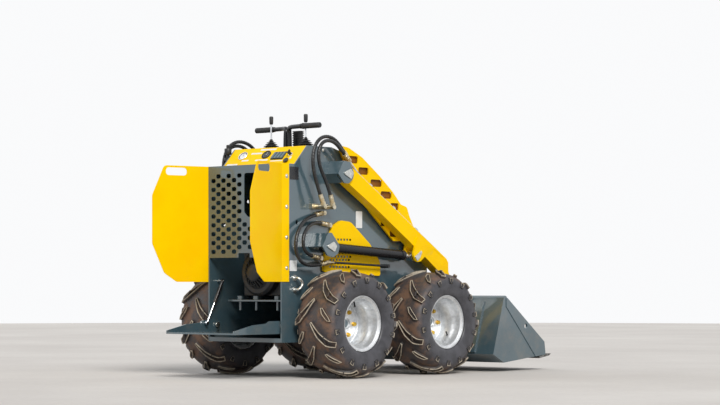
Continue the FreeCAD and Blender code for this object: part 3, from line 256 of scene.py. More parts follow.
def moulded(name, colour, rough=0.45, grain=900.0, depth=0.0001):
    """Moulded plastic or rubber: even colour with a fine cast texture and pale dust."""
    finish = Finish(name)
    dust = finish.noise(30.0, 5.0, 0.7).above(0.45, 0.9) * 0.16
    finish.bump(finish.noise(grain, 2.0), depth, 0.5)
    return finish.set(
        Base_Color=finish.blend(dust, linear(*colour), DUST),
        Roughness=(dust + finish.noise(80.0) * 0.15 + rough - 0.07).held(),
    )


def tyre_rubber():
    """Charcoal side walls and earth on the tread; lug walls and sunk tops are darkened as painted shade, and
    lug rims paled as painted highlight over rubbed rubber.
    """
    finish = Finish("tyre_rubber")
    # edge marks the lug rims for the pale painted highlight; wall marks lug walls and sunk tops for painted
    # shade
    tread, edge, wall = (finish.mark(name) for name in ("tread", "edge", "wall"))
    patches = finish.noise(13.0, 6.0, 0.7)
    grains = finish.noise(320.0, 3.0, 0.7)
    streaks = finish.noise(30.0, 5.0, 0.7)
    side = finish.blend(patches.above(0.35, 0.7), linear(52, 52, 57), linear(74, 74, 80))
    earth = finish.blend(patches.above(0.4, 0.62), linear(66, 53, 46), linear(110, 82, 63))
    share = (tread * (patches.above(0.36, 0.6) * 0.6 + 0.28)).held()
    soiled = finish.blend(share, side, earth)
    dusted = finish.blend(grains.above(0.55, 0.75) * 0.18, soiled, linear(120, 102, 88))
    # Painted shade: lug walls and sunk tops darker than the rubber itself
    shaded_walls = finish.blend((wall * (streaks * 0.5 + 0.45)).held(), dusted, linear(34, 30, 29))
    # Painted highlight over rubbed rubber: pale lug rims
    rim_highlight_and_wear = (edge * (finish.noise(55.0, 4.0).above(0.25, 0.6) * 0.6 + 0.3)).held()
    finish.bump(grains * 0.5 + patches, 0.0009, 0.4)
    return finish.set(
        Base_Color=finish.blend(rim_highlight_and_wear, shaded_walls, linear(190, 178, 158)),
        Roughness=(share * 0.3 + grains * 0.14 + 0.33).held(),
    )


def hose_rubber():
    finish = Finish("hose_rubber")
    dust = finish.noise(50.0, 5.0, 0.7).above(0.45, 0.85) * 0.3
    finish.bump(finish.noise(1400.0, 2.0), 0.00008, 0.5)
    return finish.set(
        Base_Color=finish.blend(dust, linear(24, 25, 27), linear(112, 108, 104)),
        Roughness=(dust * 0.6 + 0.3).held(),
    )


def fitting_metal():
    """Zinc with a brassy tint; the thin pipes under the lift cylinders are painted black."""
    finish = Finish("hose_fittings")
    cloud = finish.noise(45.0, 4.0, 0.65)
    piped = finish.along(1).above(PIPE_START, PIPE_START + 0.004) * finish.along(2).below(0.66, 0.67)
    metal = finish.blend(cloud.above(0.35, 0.7), linear(214, 206, 186), linear(186, 172, 140))
    finish.bump(finish.noise(220.0, 2.0), 0.00012, 0.35)
    return finish.set(
        Base_Color=finish.blend(piped, metal, linear(26, 27, 30)),
        Metallic=1 - piped,
        Roughness=(cloud * 0.2 + 0.25).held(),
    )


PIPE_START = SHIFT + 0.035
YELLOW = painted("yellow_paint", (255, 208, 0), (255, 199, 0), 0.3, 0.2, 0.03, 0.06)
SLATE = painted("slate_paint", (68, 90, 99), (60, 82, 92), 0.25, 0.3, 0.85, 0.5, 1.8)
BLACK = painted("black_paint", (24, 25, 29), (18, 20, 24), 0.24, 0.3)
RIM_SILVER = bare_metal("rim_silver", (226, 228, 230), (204, 206, 208), 0.42, peel=0.4)
ZINC = bare_metal("zinc", (222, 222, 216), (190, 192, 190), 0.28, peel=0.5)
YELLOW_ZINC = bare_metal("yellow_zinc", (214, 178, 70), (184, 146, 74), 0.3, peel=0.5)
CHROME = bare_metal("chrome_rod", (228, 230, 232), (214, 216, 220), 0.12, (1.0, 0.1, 1.0))
BRASSY = bare_metal("brassy_zinc", (214, 206, 184), (190, 168, 124), 0.28, peel=0.5)
WORN_STEEL = bare_metal("worn_steel", (150, 150, 148), (98, 94, 90), 0.42, (1.0, 0.15, 1.0), 0.8)
CAST = painted("engine_block", (74, 76, 78), (60, 62, 64), 0.5, 0.3, 0.0)
PLASTIC = moulded("black_plastic", (26, 27, 30))
BOOT = moulded("boot_rubber", (30, 31, 33), 0.55, 600.0)
WHITE_PLATE = moulded("blank_plate", (226, 228, 228), 0.4)
DARK_DIAL = moulded("dark_dial", (34, 36, 40), 0.25)
# Blue-grey on the black rocker paddles: a painted sky reflection on their tops
ROCKER_SKY_REFLECTION = moulded("rocker_painted_reflection", (92, 112, 122), 0.3)
# Dark ochre: painted shade for the shadowed inside of the gussets, seen through their slots
PAINTED_SHADE_OCHRE = painted("painted_shade_ochre", (150, 92, 14), (104, 64, 14), 0.5, 0.6, 0.0)
TYRE = tyre_rubber()
HOSE = hose_rubber()
FITTING = fitting_metal()


# Surfaces
def loft(rings, joined=False):
    """Rings of points, (k, n, 3), skinned with quads round each ring and between rings.

    Point j of ring i joins point j + 1 of it and point j of ring i + 1. joined closes
    the last ring on the first; otherwise both get a flat face.
    """
    rings = np.asarray(rings, float)
    count, size = rings.shape[:2]
    index = np.arange(count * size).reshape(count, size)
    near = index if joined else index[:-1]
    far = np.roll(index, -1, axis=0) if joined else index[1:]
    quads = np.stack([near, np.roll(near, -1, axis=1), np.roll(far, -1, axis=1), far], axis=-1)
    faces = quads.reshape(-1, 4).tolist()
    if not joined:
        faces += [index[0, ::-1].tolist(), index[-1].tolist()]
    return rings.reshape(-1, 3), faces


def basis(axis):
    """Two unit vectors square to axis and to each other."""
    axis = np.asarray(axis, float) / np.linalg.norm(axis)
    helper = np.array([0.0, 0.0, 1.0]) if abs(axis[2]) < 0.9 else np.array([1.0, 0.0, 0.0])
    first = np.cross(helper, axis)
    first /= np.linalg.norm(first)
    return first, np.cross(axis, first), axis


def turned(profile, place, axis, steps=40, sides=None):
    """Surface of revolution: rows (distance along axis, radius) spun round the axis.

    sides gives a prism with that many flat sides in place of a round.
    """
    profile = np.asarray(profile, float)
    first, second, along = basis(axis)
    angle = 2 * np.pi * np.arange(sides or steps) / (sides or steps)
    circle = np.cos(angle)[:, None] * first + np.sin(angle)[:, None] * second
    rings = profile[:, 0][:, None, None] * along + profile[:, 1][:, None, None] * circle
    return loft(rings + np.asarray(place, float))


def slab(outline, height, place, axes, edge=0.0008):
    """A flat outline raised by height, with its upper edge rounded off.

    outline is (n, 2) in the two directions axes[0] and axes[1]; it stands along
    axes[2]. The top ring is the outline drawn in by edge.
    """
    outline = np.asarray(outline, float)
    inner = drawn_in(outline, edge)
    levels = ((outline, 0.0), (outline, height - edge), (inner, height))
    rings = [flat[:, :1] * axes[0] + flat[:, 1:] * axes[1] + lift * axes[2] for flat, lift in levels]
    return loft(np.asarray(rings) + np.asarray(place, float))


def drawn_in(outline, distance):
    """Each corner moved so that both of its edges shift inwards by distance."""
    ahead = np.roll(outline, -1, axis=0) - outline
    ahead /= np.linalg.norm(ahead, axis=1)[:, None]
    behind = np.roll(ahead, 1, axis=0)
    x, y = outline.T
    area = np.sum(x * np.roll(y, -1) - y * np.roll(x, -1))
    sign = 1.0 if area > 0 else -1.0
    normals = [sign * np.stack([-way[:, 1], way[:, 0]], axis=1) for way in (behind, ahead)]
    share = 1 + np.sum(normals[0] * normals[1], axis=1)
    return outline + distance * (normals[0] + normals[1]) / np.maximum(share, 0.3)[:, None]


def rounded(width, height, radius, steps=5):
    """A rectangle about the origin whose corners are quarter circles."""
    angle = np.linspace(0, np.pi / 2, steps)
    quarter = np.stack([np.cos(angle), np.sin(angle)], axis=1) * radius
    corners = []
    for turn, (x, y) in enumerate(((1, 1), (-1, 1), (-1, -1), (1, -1))):
        c, s = ((1, 0), (0, 1), (-1, 0), (0, -1))[turn]
        arc = quarter @ np.array(((c, s), (-s, c)))
        corners.append(arc + np.array([x * (width / 2 - radius), y * (height / 2 - radius)]))
    return np.concatenate(corners)


def arced(corners, steps=6):
    """Corners (x, y) or (x, y, radius) as an outline, with each radius drawn as an arc.

    The arc touches both edges of its corner: it starts radius / tan(half angle) away.
    """
    rows = [np.array(corner[:2], float) for corner in corners]
    outline = []
    for index, corner in enumerate(corners):
        here, radius = rows[index], (corner[2] if len(corner) > 2 else 0.0)
        if not radius:
            outline.append(here)
            continue
        back = rows[index - 1] - here
        ahead = rows[(index + 1) % len(rows)] - here
        back, ahead = back / np.linalg.norm(back), ahead / np.linalg.norm(ahead)
        half = math.acos(np.clip(back @ ahead, -1, 1)) / 2
        centre = here + (back + ahead) / np.linalg.norm(back + ahead) * radius / math.sin(half)
        start, end = (here + way * radius / math.tan(half) - centre for way in (back, ahead))
        share = np.linspace(0, 1, steps)[:, None]
        arc = start * (1 - share) + end * share
        outline += list(centre + arc / np.linalg.norm(arc, axis=1)[:, None] * radius)
    return np.array(outline)


def reshaped(mesh, *sources, merge=0.0, flatten=False, outwards=False):
    """Fills mesh with the faces of the sources, and cleans them as asked."""
    work = bmesh.new()
    for source in sources:
        work.from_mesh(source)
    if merge:
        bmesh.ops.remove_doubles(work, verts=work.verts, dist=merge)
    if flatten:
        bmesh.ops.dissolve_limit(work, angle_limit=FLAT_ANGLE, verts=work.verts, edges=work.edges)
    if outwards:
        bmesh.ops.recalc_face_normals(work, faces=work.faces)
    work.to_mesh(mesh)
    work.free()
    return mesh


def cut_sheet(name, outline, holes, height, place, axes):
    """A flat sheet with holes: closed splines filled and extruded along axes[2]."""
    curve = bpy.data.curves.new(name, "CURVE")
    curve.dimensions = "2D"
    curve.fill_mode = "BOTH"
    curve.extrude = height / 2
    for flat in [outline] + list(holes):
        spline = curve.splines.new("POLY")
        spline.points.add(len(flat) - 1)
        rows = np.column_stack([flat, np.zeros(len(flat)), np.ones(len(flat))])
        spline.points.foreach_set("co", rows.ravel())
        spline.use_cyclic_u = True
    holder = bpy.data.objects.new(name, curve)
    mesh = bpy.data.meshes.new_from_object(holder)
    bpy.data.objects.remove(holder)
    bpy.data.curves.remove(curve)
    flat = np.empty(len(mesh.vertices) * 3)
    mesh.vertices.foreach_get("co", flat)
    flat = flat.reshape(-1, 3) + (0.0, 0.0, height / 2)
    mesh.vertices.foreach_set("co", (flat @ np.asarray(axes) + np.asarray(place)).ravel())
    return reshaped(mesh, mesh, merge=MERGE, flatten=True)


def bevelled(made, width):
    """Rounds the sharp edges by width."""
    bevel = made.modifiers.new("edge", "BEVEL")
    bevel.width = width
    bevel.segments = 2
    bevel.limit_method = "ANGLE"
    bevel.angle_limit = SHARP_ANGLE
    bevel.harden_normals = True
    bevel.use_clamp_overlap = True
    return made


def swept(path, radius, sides=20):
    """A tube of rings square to a path; radius is one number, one per ring or one per point."""
    path = np.asarray(path, float)
    way = np.gradient(path, axis=0)
    way /= np.linalg.norm(way, axis=1)[:, None]
    across = RIGHT if np.abs(way[:, 0]).max() < 0.9 else UP
    first = across - (way @ across)[:, None] * way
    first /= np.linalg.norm(first, axis=1)[:, None]
    second = np.cross(way, first)
    angle = 2 * np.pi * np.arange(sides)[:, None] / sides
    circle = np.cos(angle) * first[:, None] + np.sin(angle) * second[:, None]
    if np.ndim(radius) < 2:
        radius = np.broadcast_to(radius, (sides, len(path))).T
    return loft(path[:, None] + circle * np.asarray(radius)[..., None])


def piece(name, surfaces, material, body, node=None, crease=38.0, marks=None):
    """One object from several closed surfaces, riding on a body.

    marks holds numbers for each point, in the order of the surfaces, by name.
    """
    points, faces, start = [], [], 0
    for surface_points, surface_faces in surfaces:
        points.append(surface_points)
        faces += [[corner + start for corner in face] for face in surface_faces]
        start += len(surface_points)
    mesh = bpy.data.meshes.new(name)
    mesh.from_pydata(np.concatenate(points), [], faces)
    for mark_name, values in (marks or {}).items():
        layer = mesh.attributes.new(mark_name, "FLOAT", "POINT")
        layer.data.foreach_set("value", values.astype(np.float32))
    return finished(name, mesh, material, body, node, crease)


def finished(name, mesh, material, body, nodes=None, crease=38.0, merge=True):
    """Closes doubled points, turns the faces outwards and puts the mesh in the scene."""
    if merge:
        reshaped(mesh, mesh, merge=MERGE, outwards=True)
    mesh.shade_smooth()
    mesh.set_sharp_from_angle(angle=math.radians(crease))
    mesh.materials.clear()
    mesh.materials.append(material)
    made = bpy.data.objects.new(name, mesh)
    bpy.context.scene.collection.objects.link(made)
    if body:
        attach(made, body)
    if nodes:
        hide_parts(*([nodes] if isinstance(nodes, str) else nodes))
    return made


def trim(name, surfaces, material, node=None):
    """A small piece of the chassis in the given finish, in place of node where one is named."""
    return piece(name, surfaces, material, "chassis", node)


BODIES = frame["record"]["behaviour"]["bodies"]
BODY_OF = {node: body for body, nodes in BODIES.items() for node in nodes}
SLOT_OF = {part["node"]: part["material_slot"] for part in frame["record"]["subparts"]}


def eased(node, width):
    """A copy of a solid with its sharp edges rounded by width, in place of the solid."""
    name, slot = node + "_eased", SLOT_OF[node]
    mesh = bpy.data.meshes.new(name)
    reshaped(mesh, frame["nodes"][node].data, merge=1e-5, flatten=True)
    made = finished(name, mesh, FINISHES[slot], BODY_OF[node], node, 30.0, False)
    return bevelled(made, width)


NODE_FINISHES = {"hose_fittings": FITTING}
FINISHES = {
    "yellow_paint": YELLOW,
    "slate_paint": SLATE,
    "black_paint": BLACK,
    "bar_black": BLACK,
    "tyre_rubber": TYRE,
    "rim_silver": RIM_SILVER,
    "chrome_rod": CHROME,
    "zinc": ZINC,
    "hose_rubber": HOSE,
    "engine_block": CAST,
    "black_plastic": PLASTIC,
    "worn_steel": WORN_STEEL,
}

# Nodes by edge radius; a name matches by how it starts, so engine_shelf goes before engine
EDGES = {
    0.0008: ("strut_tube", "tie_downs"),
    0.001: (
        "belly_pan", "engine_shelf", "fan_housing", "side_vent", "lower_cross_tube", "lift_rod", "tilt_rod",
    ),
    0.0012: (
        "side_plate", "front_cover", "deck", "console", "platform", "upper_cross_tube", "arm_pins",
        "bucket_shell",
    ),
    0.0014: (
        "body_pins", "gusset", "cutting_edge", "quick_plate", "lift_barrel", "tilt_barrel", "rim",
    ),
    0.0015: ("pivot_brackets",),
    0.002: ("wheel_motors",),
    0.003: ("arm_right", "arm_left"),
    0.006: ("engine",),
}


def dress_nodes():
    for node, made in frame["nodes"].items():
        made.data.materials.clear()
        made.data.materials.append(NODE_FINISHES.get(node, FINISHES[SLOT_OF[node]]))
        made.data.shade_smooth()
        made.data.set_sharp_from_angle(angle=SHARP_ANGLE)
        for width, starts in EDGES.items():
            if node.startswith(starts):
                eased(node, width)
                break


dress_nodes()


# Rear screen and flaps
BODY_SIDE = 0.26
BODY_REAR = -0.316
SHOULDER = 1.092
SCREEN_FOOT = 0.617
FLAP_LENGTH = 0.328
FLAP_FLARE = math.radians(15)
FLAP_FOOT = 0.492
SCREEN_COLUMNS = (-0.223, -0.187, -0.151, -0.113, -0.075, -0.037, 0.001, 0.039)
HOLE = (0.0325, 0.0225, 0.0095)
HOLE_PITCH = 0.046
HAND_SLOT = (0.124, 0.04, 0.017)
SCREEN_SHEET = 0.003
FLAP_SHEET = 0.004


def side_axes(side):
    """Ahead, up and outwards: the directions of a drawing on that side of the machine."""
    return np.array((AHEAD, UP, side * RIGHT))


def make_rear_screen():
    """The screen's sheet with its staggered rounded holes, its window and its notch."""
    wide, foot, head = BODY_SIDE - 0.0082, SCREEN_FOOT, SHOULDER - 0.0002
    notch = foot + 0.023
    outline = arced([
        (-wide, foot), (-0.043, foot), (-0.043, notch, 0.005), (0.037, notch, 0.005), (0.037, foot),
        (wide, foot), (wide, head), (-wide, head),
    ])
    sill, lintel, bend = SHOULDER - 0.267, SHOULDER - 0.042, 0.012
    window = arced([
        (-0.002, sill + 0.025, bend), (0.025, sill, bend), (0.2, sill, bend),
        (0.2, lintel, bend), (-0.002, lintel, bend),
    ])
    holes = [window]
    for index, x in enumerate(SCREEN_COLUMNS):
        highest = SHOULDER - 0.05 if x < -0.03 else sill - 0.024
        z = foot + 0.031 + (0.0 if index % 2 == 0 else HOLE_PITCH / 2)
        while z <= highest:
            if not (-0.063 < x < 0.057 and z < foot + 0.043):
                holes.append(rounded(*HOLE, 4) + (x, z))
            z += HOLE_PITCH
    name, axes = "rear_screen_sheet", (RIGHT, UP, AHEAD)
    mesh = cut_sheet(name, outline, holes, SCREEN_SHEET, at(0, BODY_REAR, 0), axes)
    bevelled(finished(name, mesh, SLATE, "chassis", "rear_screen", 30.0, False), 0.0005)


def make_flaps():
    """Each flap's flared leaf with its hand slot, and its flange on the side plate."""
    leaf = arced([
        (0.0, FLAP_FOOT), (0.0, SHOULDER), (-FLAP_LENGTH + 0.07, SHOULDER, 0.024),
        (-FLAP_LENGTH, SHOULDER - 0.155, 0.04), (-FLAP_LENGTH, FLAP_FOOT + 0.197, 0.04),
        (-FLAP_LENGTH + 0.07, FLAP_FOOT + 0.046, 0.03), (-FLAP_LENGTH + 0.143, FLAP_FOOT, 0.03),
    ])
    slot = rounded(*HAND_SLOT) + (-0.57 * FLAP_LENGTH, SHOULDER - 0.03)
    flange = np.array([(0.0, FLAP_FOOT), (0.055, FLAP_FOOT), (0.055, SHOULDER), (0.0, SHOULDER)])
    for side_name, side in SIDES:
        along = np.array([-side * math.sin(FLAP_FLARE), math.cos(FLAP_FLARE), 0.0])
        out = np.array([side * math.cos(FLAP_FLARE), math.sin(FLAP_FLARE), 0.0])
        hinge = at(side * (BODY_SIDE + 0.0003), BODY_REAR - 0.003, 0)
        mesh = cut_sheet("flap_leaf", leaf, [slot], FLAP_SHEET, hinge, (along, UP, out))
        strip = cut_sheet("flap_flange", flange, [], FLAP_SHEET, hinge, side_axes(side))
        reshaped(mesh, mesh, strip, outwards=True)
        bpy.data.meshes.remove(strip)
        node = "flap_" + side_name
        name = node + "_sheet"
        bevelled(finished(name, mesh, YELLOW, "chassis", node, 30.0, False), 0.0012)


make_rear_screen()
make_flaps()


# Tyres
LUGS = 7
LUG_HEIGHT = 0.0168
TYRE_RADIUS = 0.2793
CARCASS = TYRE_RADIUS - LUG_HEIGHT
HALF_WIDTH = 0.1258
LUG_LIMIT = 0.1307
WIDEST = 0.2
BEAD = (0.11, 0.1455)
TYRE_STEPS = 168


def tyre_section(steps=26):
    """Half section from the crown to the bead: (across, radius) rows.

    From the crown to the widest point it is a superellipse of power 3.3, and from
    there in to the bead a quarter of an ellipse.
    """
    turn = np.linspace(0, np.pi / 2, steps)
    power = 2 / 3.3
    across = HALF_WIDTH * np.sin(turn) ** power
    radius = WIDEST + (CARCASS - WIDEST) * np.cos(turn) ** power
    dip = np.linspace(0, np.pi / 2, steps // 2)[1:]
    low_across = BEAD[0] + (HALF_WIDTH - BEAD[0]) * np.cos(dip)
    low_radius = WIDEST - (WIDEST - BEAD[1]) * np.sin(dip)
    return np.stack([np.concatenate([across, low_across]), np.concatenate([radius, low_radius])], axis=1)


SECTION = tyre_section(60)
SECTION_RUN = np.concatenate([[0], np.cumsum(np.linalg.norm(np.diff(SECTION, axis=0), axis=1))])


def on_tyre(across, ahead, height):
    """Points over the carcass: run across from the crown, run round it, height above it.

    The section is read at the run across; the height is added along its normal and
    the run round the crown becomes a turn about the axle.
    """
    run = np.abs(across)
    spot = np.stack([np.interp(run, SECTION_RUN, SECTION[:, i]) for i in (0, 1)], axis=-1)
    slope = np.gradient(SECTION, SECTION_RUN, axis=0)
    way = np.stack([np.interp(run, SECTION_RUN, slope[:, i]) for i in (0, 1)], axis=-1)
    way /= np.linalg.norm(way, axis=-1)[..., None]
    x = (spot[..., 0] - way[..., 1] * height) * np.sign(across)
    radius = spot[..., 1] + way[..., 0] * height
    radius = np.minimum(radius, TYRE_RADIUS)
    x = np.clip(x, -LUG_LIMIT, LUG_LIMIT)
    turn = ahead / CARCASS
    return np.stack([x, radius * np.sin(turn), radius * np.cos(turn)], axis=-1)


def filled(outline, steps):
    """The outline with each edge cut into equal steps."""
    share = np.arange(steps)[None, :, None] / steps
    follow = np.roll(outline, -1, axis=0)
    return (outline[:, None] * (1 - share) + follow[:, None] * share).reshape(-1, 2)


# Lug outlines: run across from the crown, run ahead round the tyre
LONG_LUG = np.array([
    (-0.006, 0.062), (0.004, 0.07), (0.048, 0.02), (0.1, -0.026), (0.128, -0.04),
    (0.118, -0.068), (0.076, -0.052), (0.034, -0.008),
])
KITE_LUG = np.array([
    (0.05, 0.02), (0.064, 0.022), (0.1, -0.022), (0.112, -0.046), (0.094, -0.044), (0.062, -0.01),
])
BLOCK = np.array([(0.132, -0.014), (0.158, -0.012), (0.158, 0.014), (0.132, 0.016)])
LUG_SHAPES = (
    (LONG_LUG, 0.0, LUG_HEIGHT, 0.0034), (KITE_LUG, 0.5, 0.014, 0.003),
    (BLOCK, 0.05, 0.01, 0.0026), (BLOCK, 0.55, 0.01, 0.0026),
)
EDGE_STEPS = 5
RIM_ROWS = 6


def laid(flat, side, start, lift):
    """An outline laid over the tyre at one height, start ahead of the crown's top."""
    return on_tyre(flat[:, 0] * side, flat[:, 1] + start, np.full(len(flat), lift))


def lug(shape, side, start, height, wall):
    """A lug: a flared base up to a sunk top, and a wall that runs round its outline."""
    outline = filled(shape, EDGE_STEPS)
    floor = height * 0.6
    base = ((-0.004, -0.004), (-0.0004, height * 0.45), (0.0, floor))
    rim = (
        (0.0, floor - 0.002), (0.0004, height - 0.001), (0.0016, height),
        (wall - 0.001, height), (wall, height - 0.001), (wall + 0.0006, floor - 0.002),
    )
    base, rim = (
        [laid(drawn_in(outline, inset), side, start, lift) for inset, lift in rows]
        for rows in (base, rim)
    )
    return [loft(base), loft(rim, joined=True)]


def bar_over(shape, side, start, height):
    """The short bar that splits a long lug's sunk top in two."""
    low, high = shape[2:4].mean(axis=0), shape[5:8:2].mean(axis=0)
    way = (high - low) / np.linalg.norm(high - low)
    aside = np.array([-way[1], way[0]]) * 0.0035
    flat = filled(np.array([low + aside, high + aside, high - aside, low - aside]), 3)
    levels = ((flat, height * 0.5), (flat, height - 0.001), (drawn_in(flat, 0.0008), height))
    return loft([laid(ring, side, start, lift) for ring, lift in levels])


def tyre_surfaces():
    """Carcass, lugs and bars of one tyre, and for each surface whether it is a lug's rim."""
    half = np.concatenate([tyre_section(), [(0.1035, 0.1445), (0.0975, 0.1325)]])
    section = np.concatenate([half[:0:-1] * (-1, 1), half])
    turns = 2 * np.pi * np.arange(TYRE_STEPS)[:, None] / TYRE_STEPS
    across, radius = section[None, :, 0], section[None, :, 1]
    rings = np.stack([across + 0 * turns, radius * np.sin(turns), radius * np.cos(turns)], axis=-1)
    surfaces, rims = [loft(rings, joined=True)], [False]
    pitch = 2 * np.pi * CARCASS / LUGS
    for side in (1, -1):
        for index in range(LUGS):
            for shape, phase, height, wall in LUG_SHAPES:
                start = pitch * (index + phase + (0.5 if side < 0 else 0.0))
                surfaces += lug(shape, side, start, height, wall)
                rims += [False, True]
            start = pitch * (index + (0.5 if side < 0 else 0.0))
            surfaces.append(bar_over(LONG_LUG, side, start, LUG_HEIGHT))
            rims.append(False)
    return surfaces, rims


def tyre_marks(surfaces, rims):
    """How much earth, painted highlight and painted shade each point of a tyre has.

    The earth grows with the radius. The inner four rows of a lug's rim carry its pale edge, painted highlight
    over rubbed rubber; all its other rows, and its sunk top, carry painted shade.
    """
    radius = np.concatenate([np.hypot(points[:, 1], points[:, 2]) for points, _ in surfaces])
    edge, wall = [], []
    for index, ((points, _), is_rim) in enumerate(zip(surfaces, rims)):
        rows = np.arange(len(points)) * RIM_ROWS // len(points)
        # Rows 1 to 4 of a lug's rim get the pale painted highlight
        lit_and_rubbed = ((rows >= 1) & (rows <= 4)) * float(is_rim)
        edge.append(lit_and_rubbed)
        # All other lug rows get painted shade
        wall.append((1.0 - lit_and_rubbed) * float(index > 0))
    tread = np.clip((radius - 0.222) / 0.03, 0, 1)
    return {"tread": tread, "edge": np.concatenate(edge), "wall": np.concatenate(wall)}


def make_tyres():
    surfaces, rims = tyre_surfaces()
    marks = tyre_marks(surfaces, rims)
    for label, side in WHEELS:
        moved = [(points * (side, 1, 1) + middle("rim_" + label), faces) for points, faces in surfaces]
        body, node = "wheel_" + label, "tyre_" + label
        piece("tread_" + label, moved, TYRE, body, node, 50.0, marks)


make_tyres()


# Backs of the gussets, and the floors of the arm's brackets
GUSSET = (
    (0.092, 1.202, 0.01), (0.171, 1.192, 0.06), (0.278, 1.147, 0.09), (0.424, 1.052, 0.12),
    (0.529, 0.974, 0.09), (0.598, 0.908, 0.02), (0.64, 0.86, 0.02), (0.64, 0.713, 0.02),
    (0.537, 0.711, 0.012), (0.279, 0.916, 0.06), (0.15, 1.000, 0.03), (0.175, 1.05, 0.02),
    (0.14, 1.12, 0.02),
)
BRACKET_FLOOR = ((0.047, 1.002), (0.003, 1.048), (0.0073, 1.0521), (0.0513, 1.0061))


def make_backs():
    """A thin back behind each gusset, with a lining painted dark ochre as painted shade so the slots look into
    shadow, and the floor of each bracket.
    """
    outline = drawn_in(arced(GUSSET), 0.004)
    sheets = (
        ("gusset_backs", outline, 0.2672, 0.0014, 0.0003, YELLOW, "yellow_paint"),
        # The linings are dark ochre, painted shade behind the gusset slots
        ("gusset_shade_linings", drawn_in(outline, 0.001), 0.2687, 0.0006, 0.0002, PAINTED_SHADE_OCHRE, "yellow_paint"),
        ("bracket_floors", BRACKET_FLOOR, 0.2602, 0.0838, 0.0003, SLATE, "slate_paint"),
    )
    for name, flat, x, height, edge, finish, slot in sheets:
        body = "chassis" if name == "bracket_floors" else "lift_arm"
        pair = [slab(flat, height, at(side * x, 0, 0), side_axes(side), edge) for _, side in SIDES]
        piece(name, pair, finish, body)


make_backs()


# Bolts
WHEEL_BOLTS = 5
VALVE_TURN = {"rear": 4.0, "front": 130.0}
BOLT_CIRCLE = 0.06
BOLT_PHASE = 22
DISC_INSET = 0.005
FLAP_BOLT_HEIGHTS = (0.562, 0.717, 0.872, 1.027)
PLATE_BOLTS = ((-0.003, 1.172), (-0.178, 0.308), (-0.141, 0.338))
VALVE_ROWS = (
    (0, 0.0065), (0.006, 0.0065), (0.008, 0.0042), (0.022, 0.004), (0.023, 0.0048),
    (0.034, 0.0048), (0.035, 0.002),
)


def hex_head(place, axis, size, height):
    """A hexagon head on its washer, with a turned-off crown."""
    washer = turned([(0, size * 1.08), (size * 0.22, size * 1.08), (size * 0.22, size * 0.4)], place, axis, 24)
    low = size * 0.2
    head = turned(
        [(low, size), (low + height * 0.8, size), (low + height, size * 0.86), (low + height, size * 0.3)],
        place, axis, sides=6,
    )
    return [washer, head]


def dome_head(place, axis, size):
    """A round head: a shallow dome over a thin washer."""
    turn = np.linspace(0, np.pi / 2, 7)
    dome = [(0.0, size * 1.2), (size * 0.15, size * 1.2), (size * 0.15, size)]
    dome += [(size * (0.15 + 0.5 * math.sin(t)), size * math.cos(t) + 1e-5) for t in turn]
    return [turned(dome, place, axis, 24)]


def make_bolts():
    """The bolts of flaps and side plates, the wheel bolts and the valve stems."""
    heads = []
    for _, side in SIDES:
        for z in FLAP_BOLT_HEIGHTS:
            heads += dome_head(at(side * 0.2642, -0.283, z), (side, 0, 0), 0.0088)
        for y, z in PLATE_BOLTS:
            heads += dome_head(at(side * 0.26, y, z), (side, 0, 0), 0.0078)
    piece("side_bolts", heads, ZINC, "chassis")
    for label, side in WHEELS:
        centre, body = middle("rim_" + label), "wheel_" + label
        heads = []
        for index in range(WHEEL_BOLTS):
            turn = 2 * math.pi * index / WHEEL_BOLTS + math.radians(BOLT_PHASE)
            y, z = BOLT_CIRCLE * math.sin(turn), BOLT_CIRCLE * math.cos(turn)
            heads += hex_head(centre + (-side * DISC_INSET, y, z), (side, 0, 0), 0.0108, 0.0105)
        piece("wheel_bolts_" + label, heads, YELLOW_ZINC, body)
        turn = math.radians(VALVE_TURN[label.split("_")[0]])
        inward = np.array([0.0, -math.sin(turn), -math.cos(turn)])
        foot = centre + (side * 0.04, 0.0, 0.0) - inward * 0.117
        valve = turned(VALVE_ROWS, foot, inward + (side * 0.35, 0.0, 0.0), 16)
        piece("valve_stem_" + label, [valve], BOOT, body)


make_bolts()


def make_plates():
    """The blank data plates of the right side plate: two white ones and a dark one."""
    for name, y, z, width, height, finish in (
        ("data_plate", 0.2814, 0.82, 0.05, 0.088, WHITE_PLATE),
        ("lower_plate", -0.23, 0.574, 0.054, 0.054, WHITE_PLATE),
        ("dark_plate", -0.223, 1.044, 0.066, 0.066, DARK_DIAL),
    ):
        outline = rounded(width, height, 0.003, 3)
        trim(name, [slab(outline, 0.0008, at(BODY_SIDE, y, z), side_axes(1.0), 0.0002)], finish)


make_plates()


# Hoses
ARM_HOSES = (
    (
        (0.33, -0.086, 0.905), (0.322, -0.13, 1.01), (0.318, -0.15, 1.11), (0.315, -0.128, 1.19),
        (0.312, -0.07, 1.236), (0.308, 0.005, 1.24), (0.303, 0.075, 1.208), (0.3, 0.14, 1.14),
    ),
    (
        (0.33, -0.012, 0.905), (0.33, -0.042, 0.985), (0.33, -0.108, 1.08), (0.33, -0.119, 1.16),
        (0.328, -0.076, 1.215), (0.322, 0.01, 1.218), (0.322, 0.082, 1.165), (0.322, 0.12, 1.13),
    ),
)
SIDE_HOSES = (
    (
        (0.272, -0.04, 0.842), (0.272, -0.12, 0.828), (0.296, -0.21, 0.785), (0.308, -0.262, 0.715),
        (0.308, -0.262, 0.64), (0.304, -0.215, 0.585), (0.3, -0.12, 0.572), (0.3, -0.03, 0.588),
    ),
    (
        (0.272, 0.004, 0.79), (0.272, -0.06, 0.8), (0.29, -0.145, 0.782), (0.306, -0.205, 0.725),
        (0.306, -0.205, 0.665), (0.304, -0.165, 0.628), (0.3, -0.095, 0.618),
    ),
)
HOSE_RADIUS = 0.0092
WRAP_PITCH = 0.016
WRAP_DEPTH = 0.00035
HOSE_STEP = 0.0032
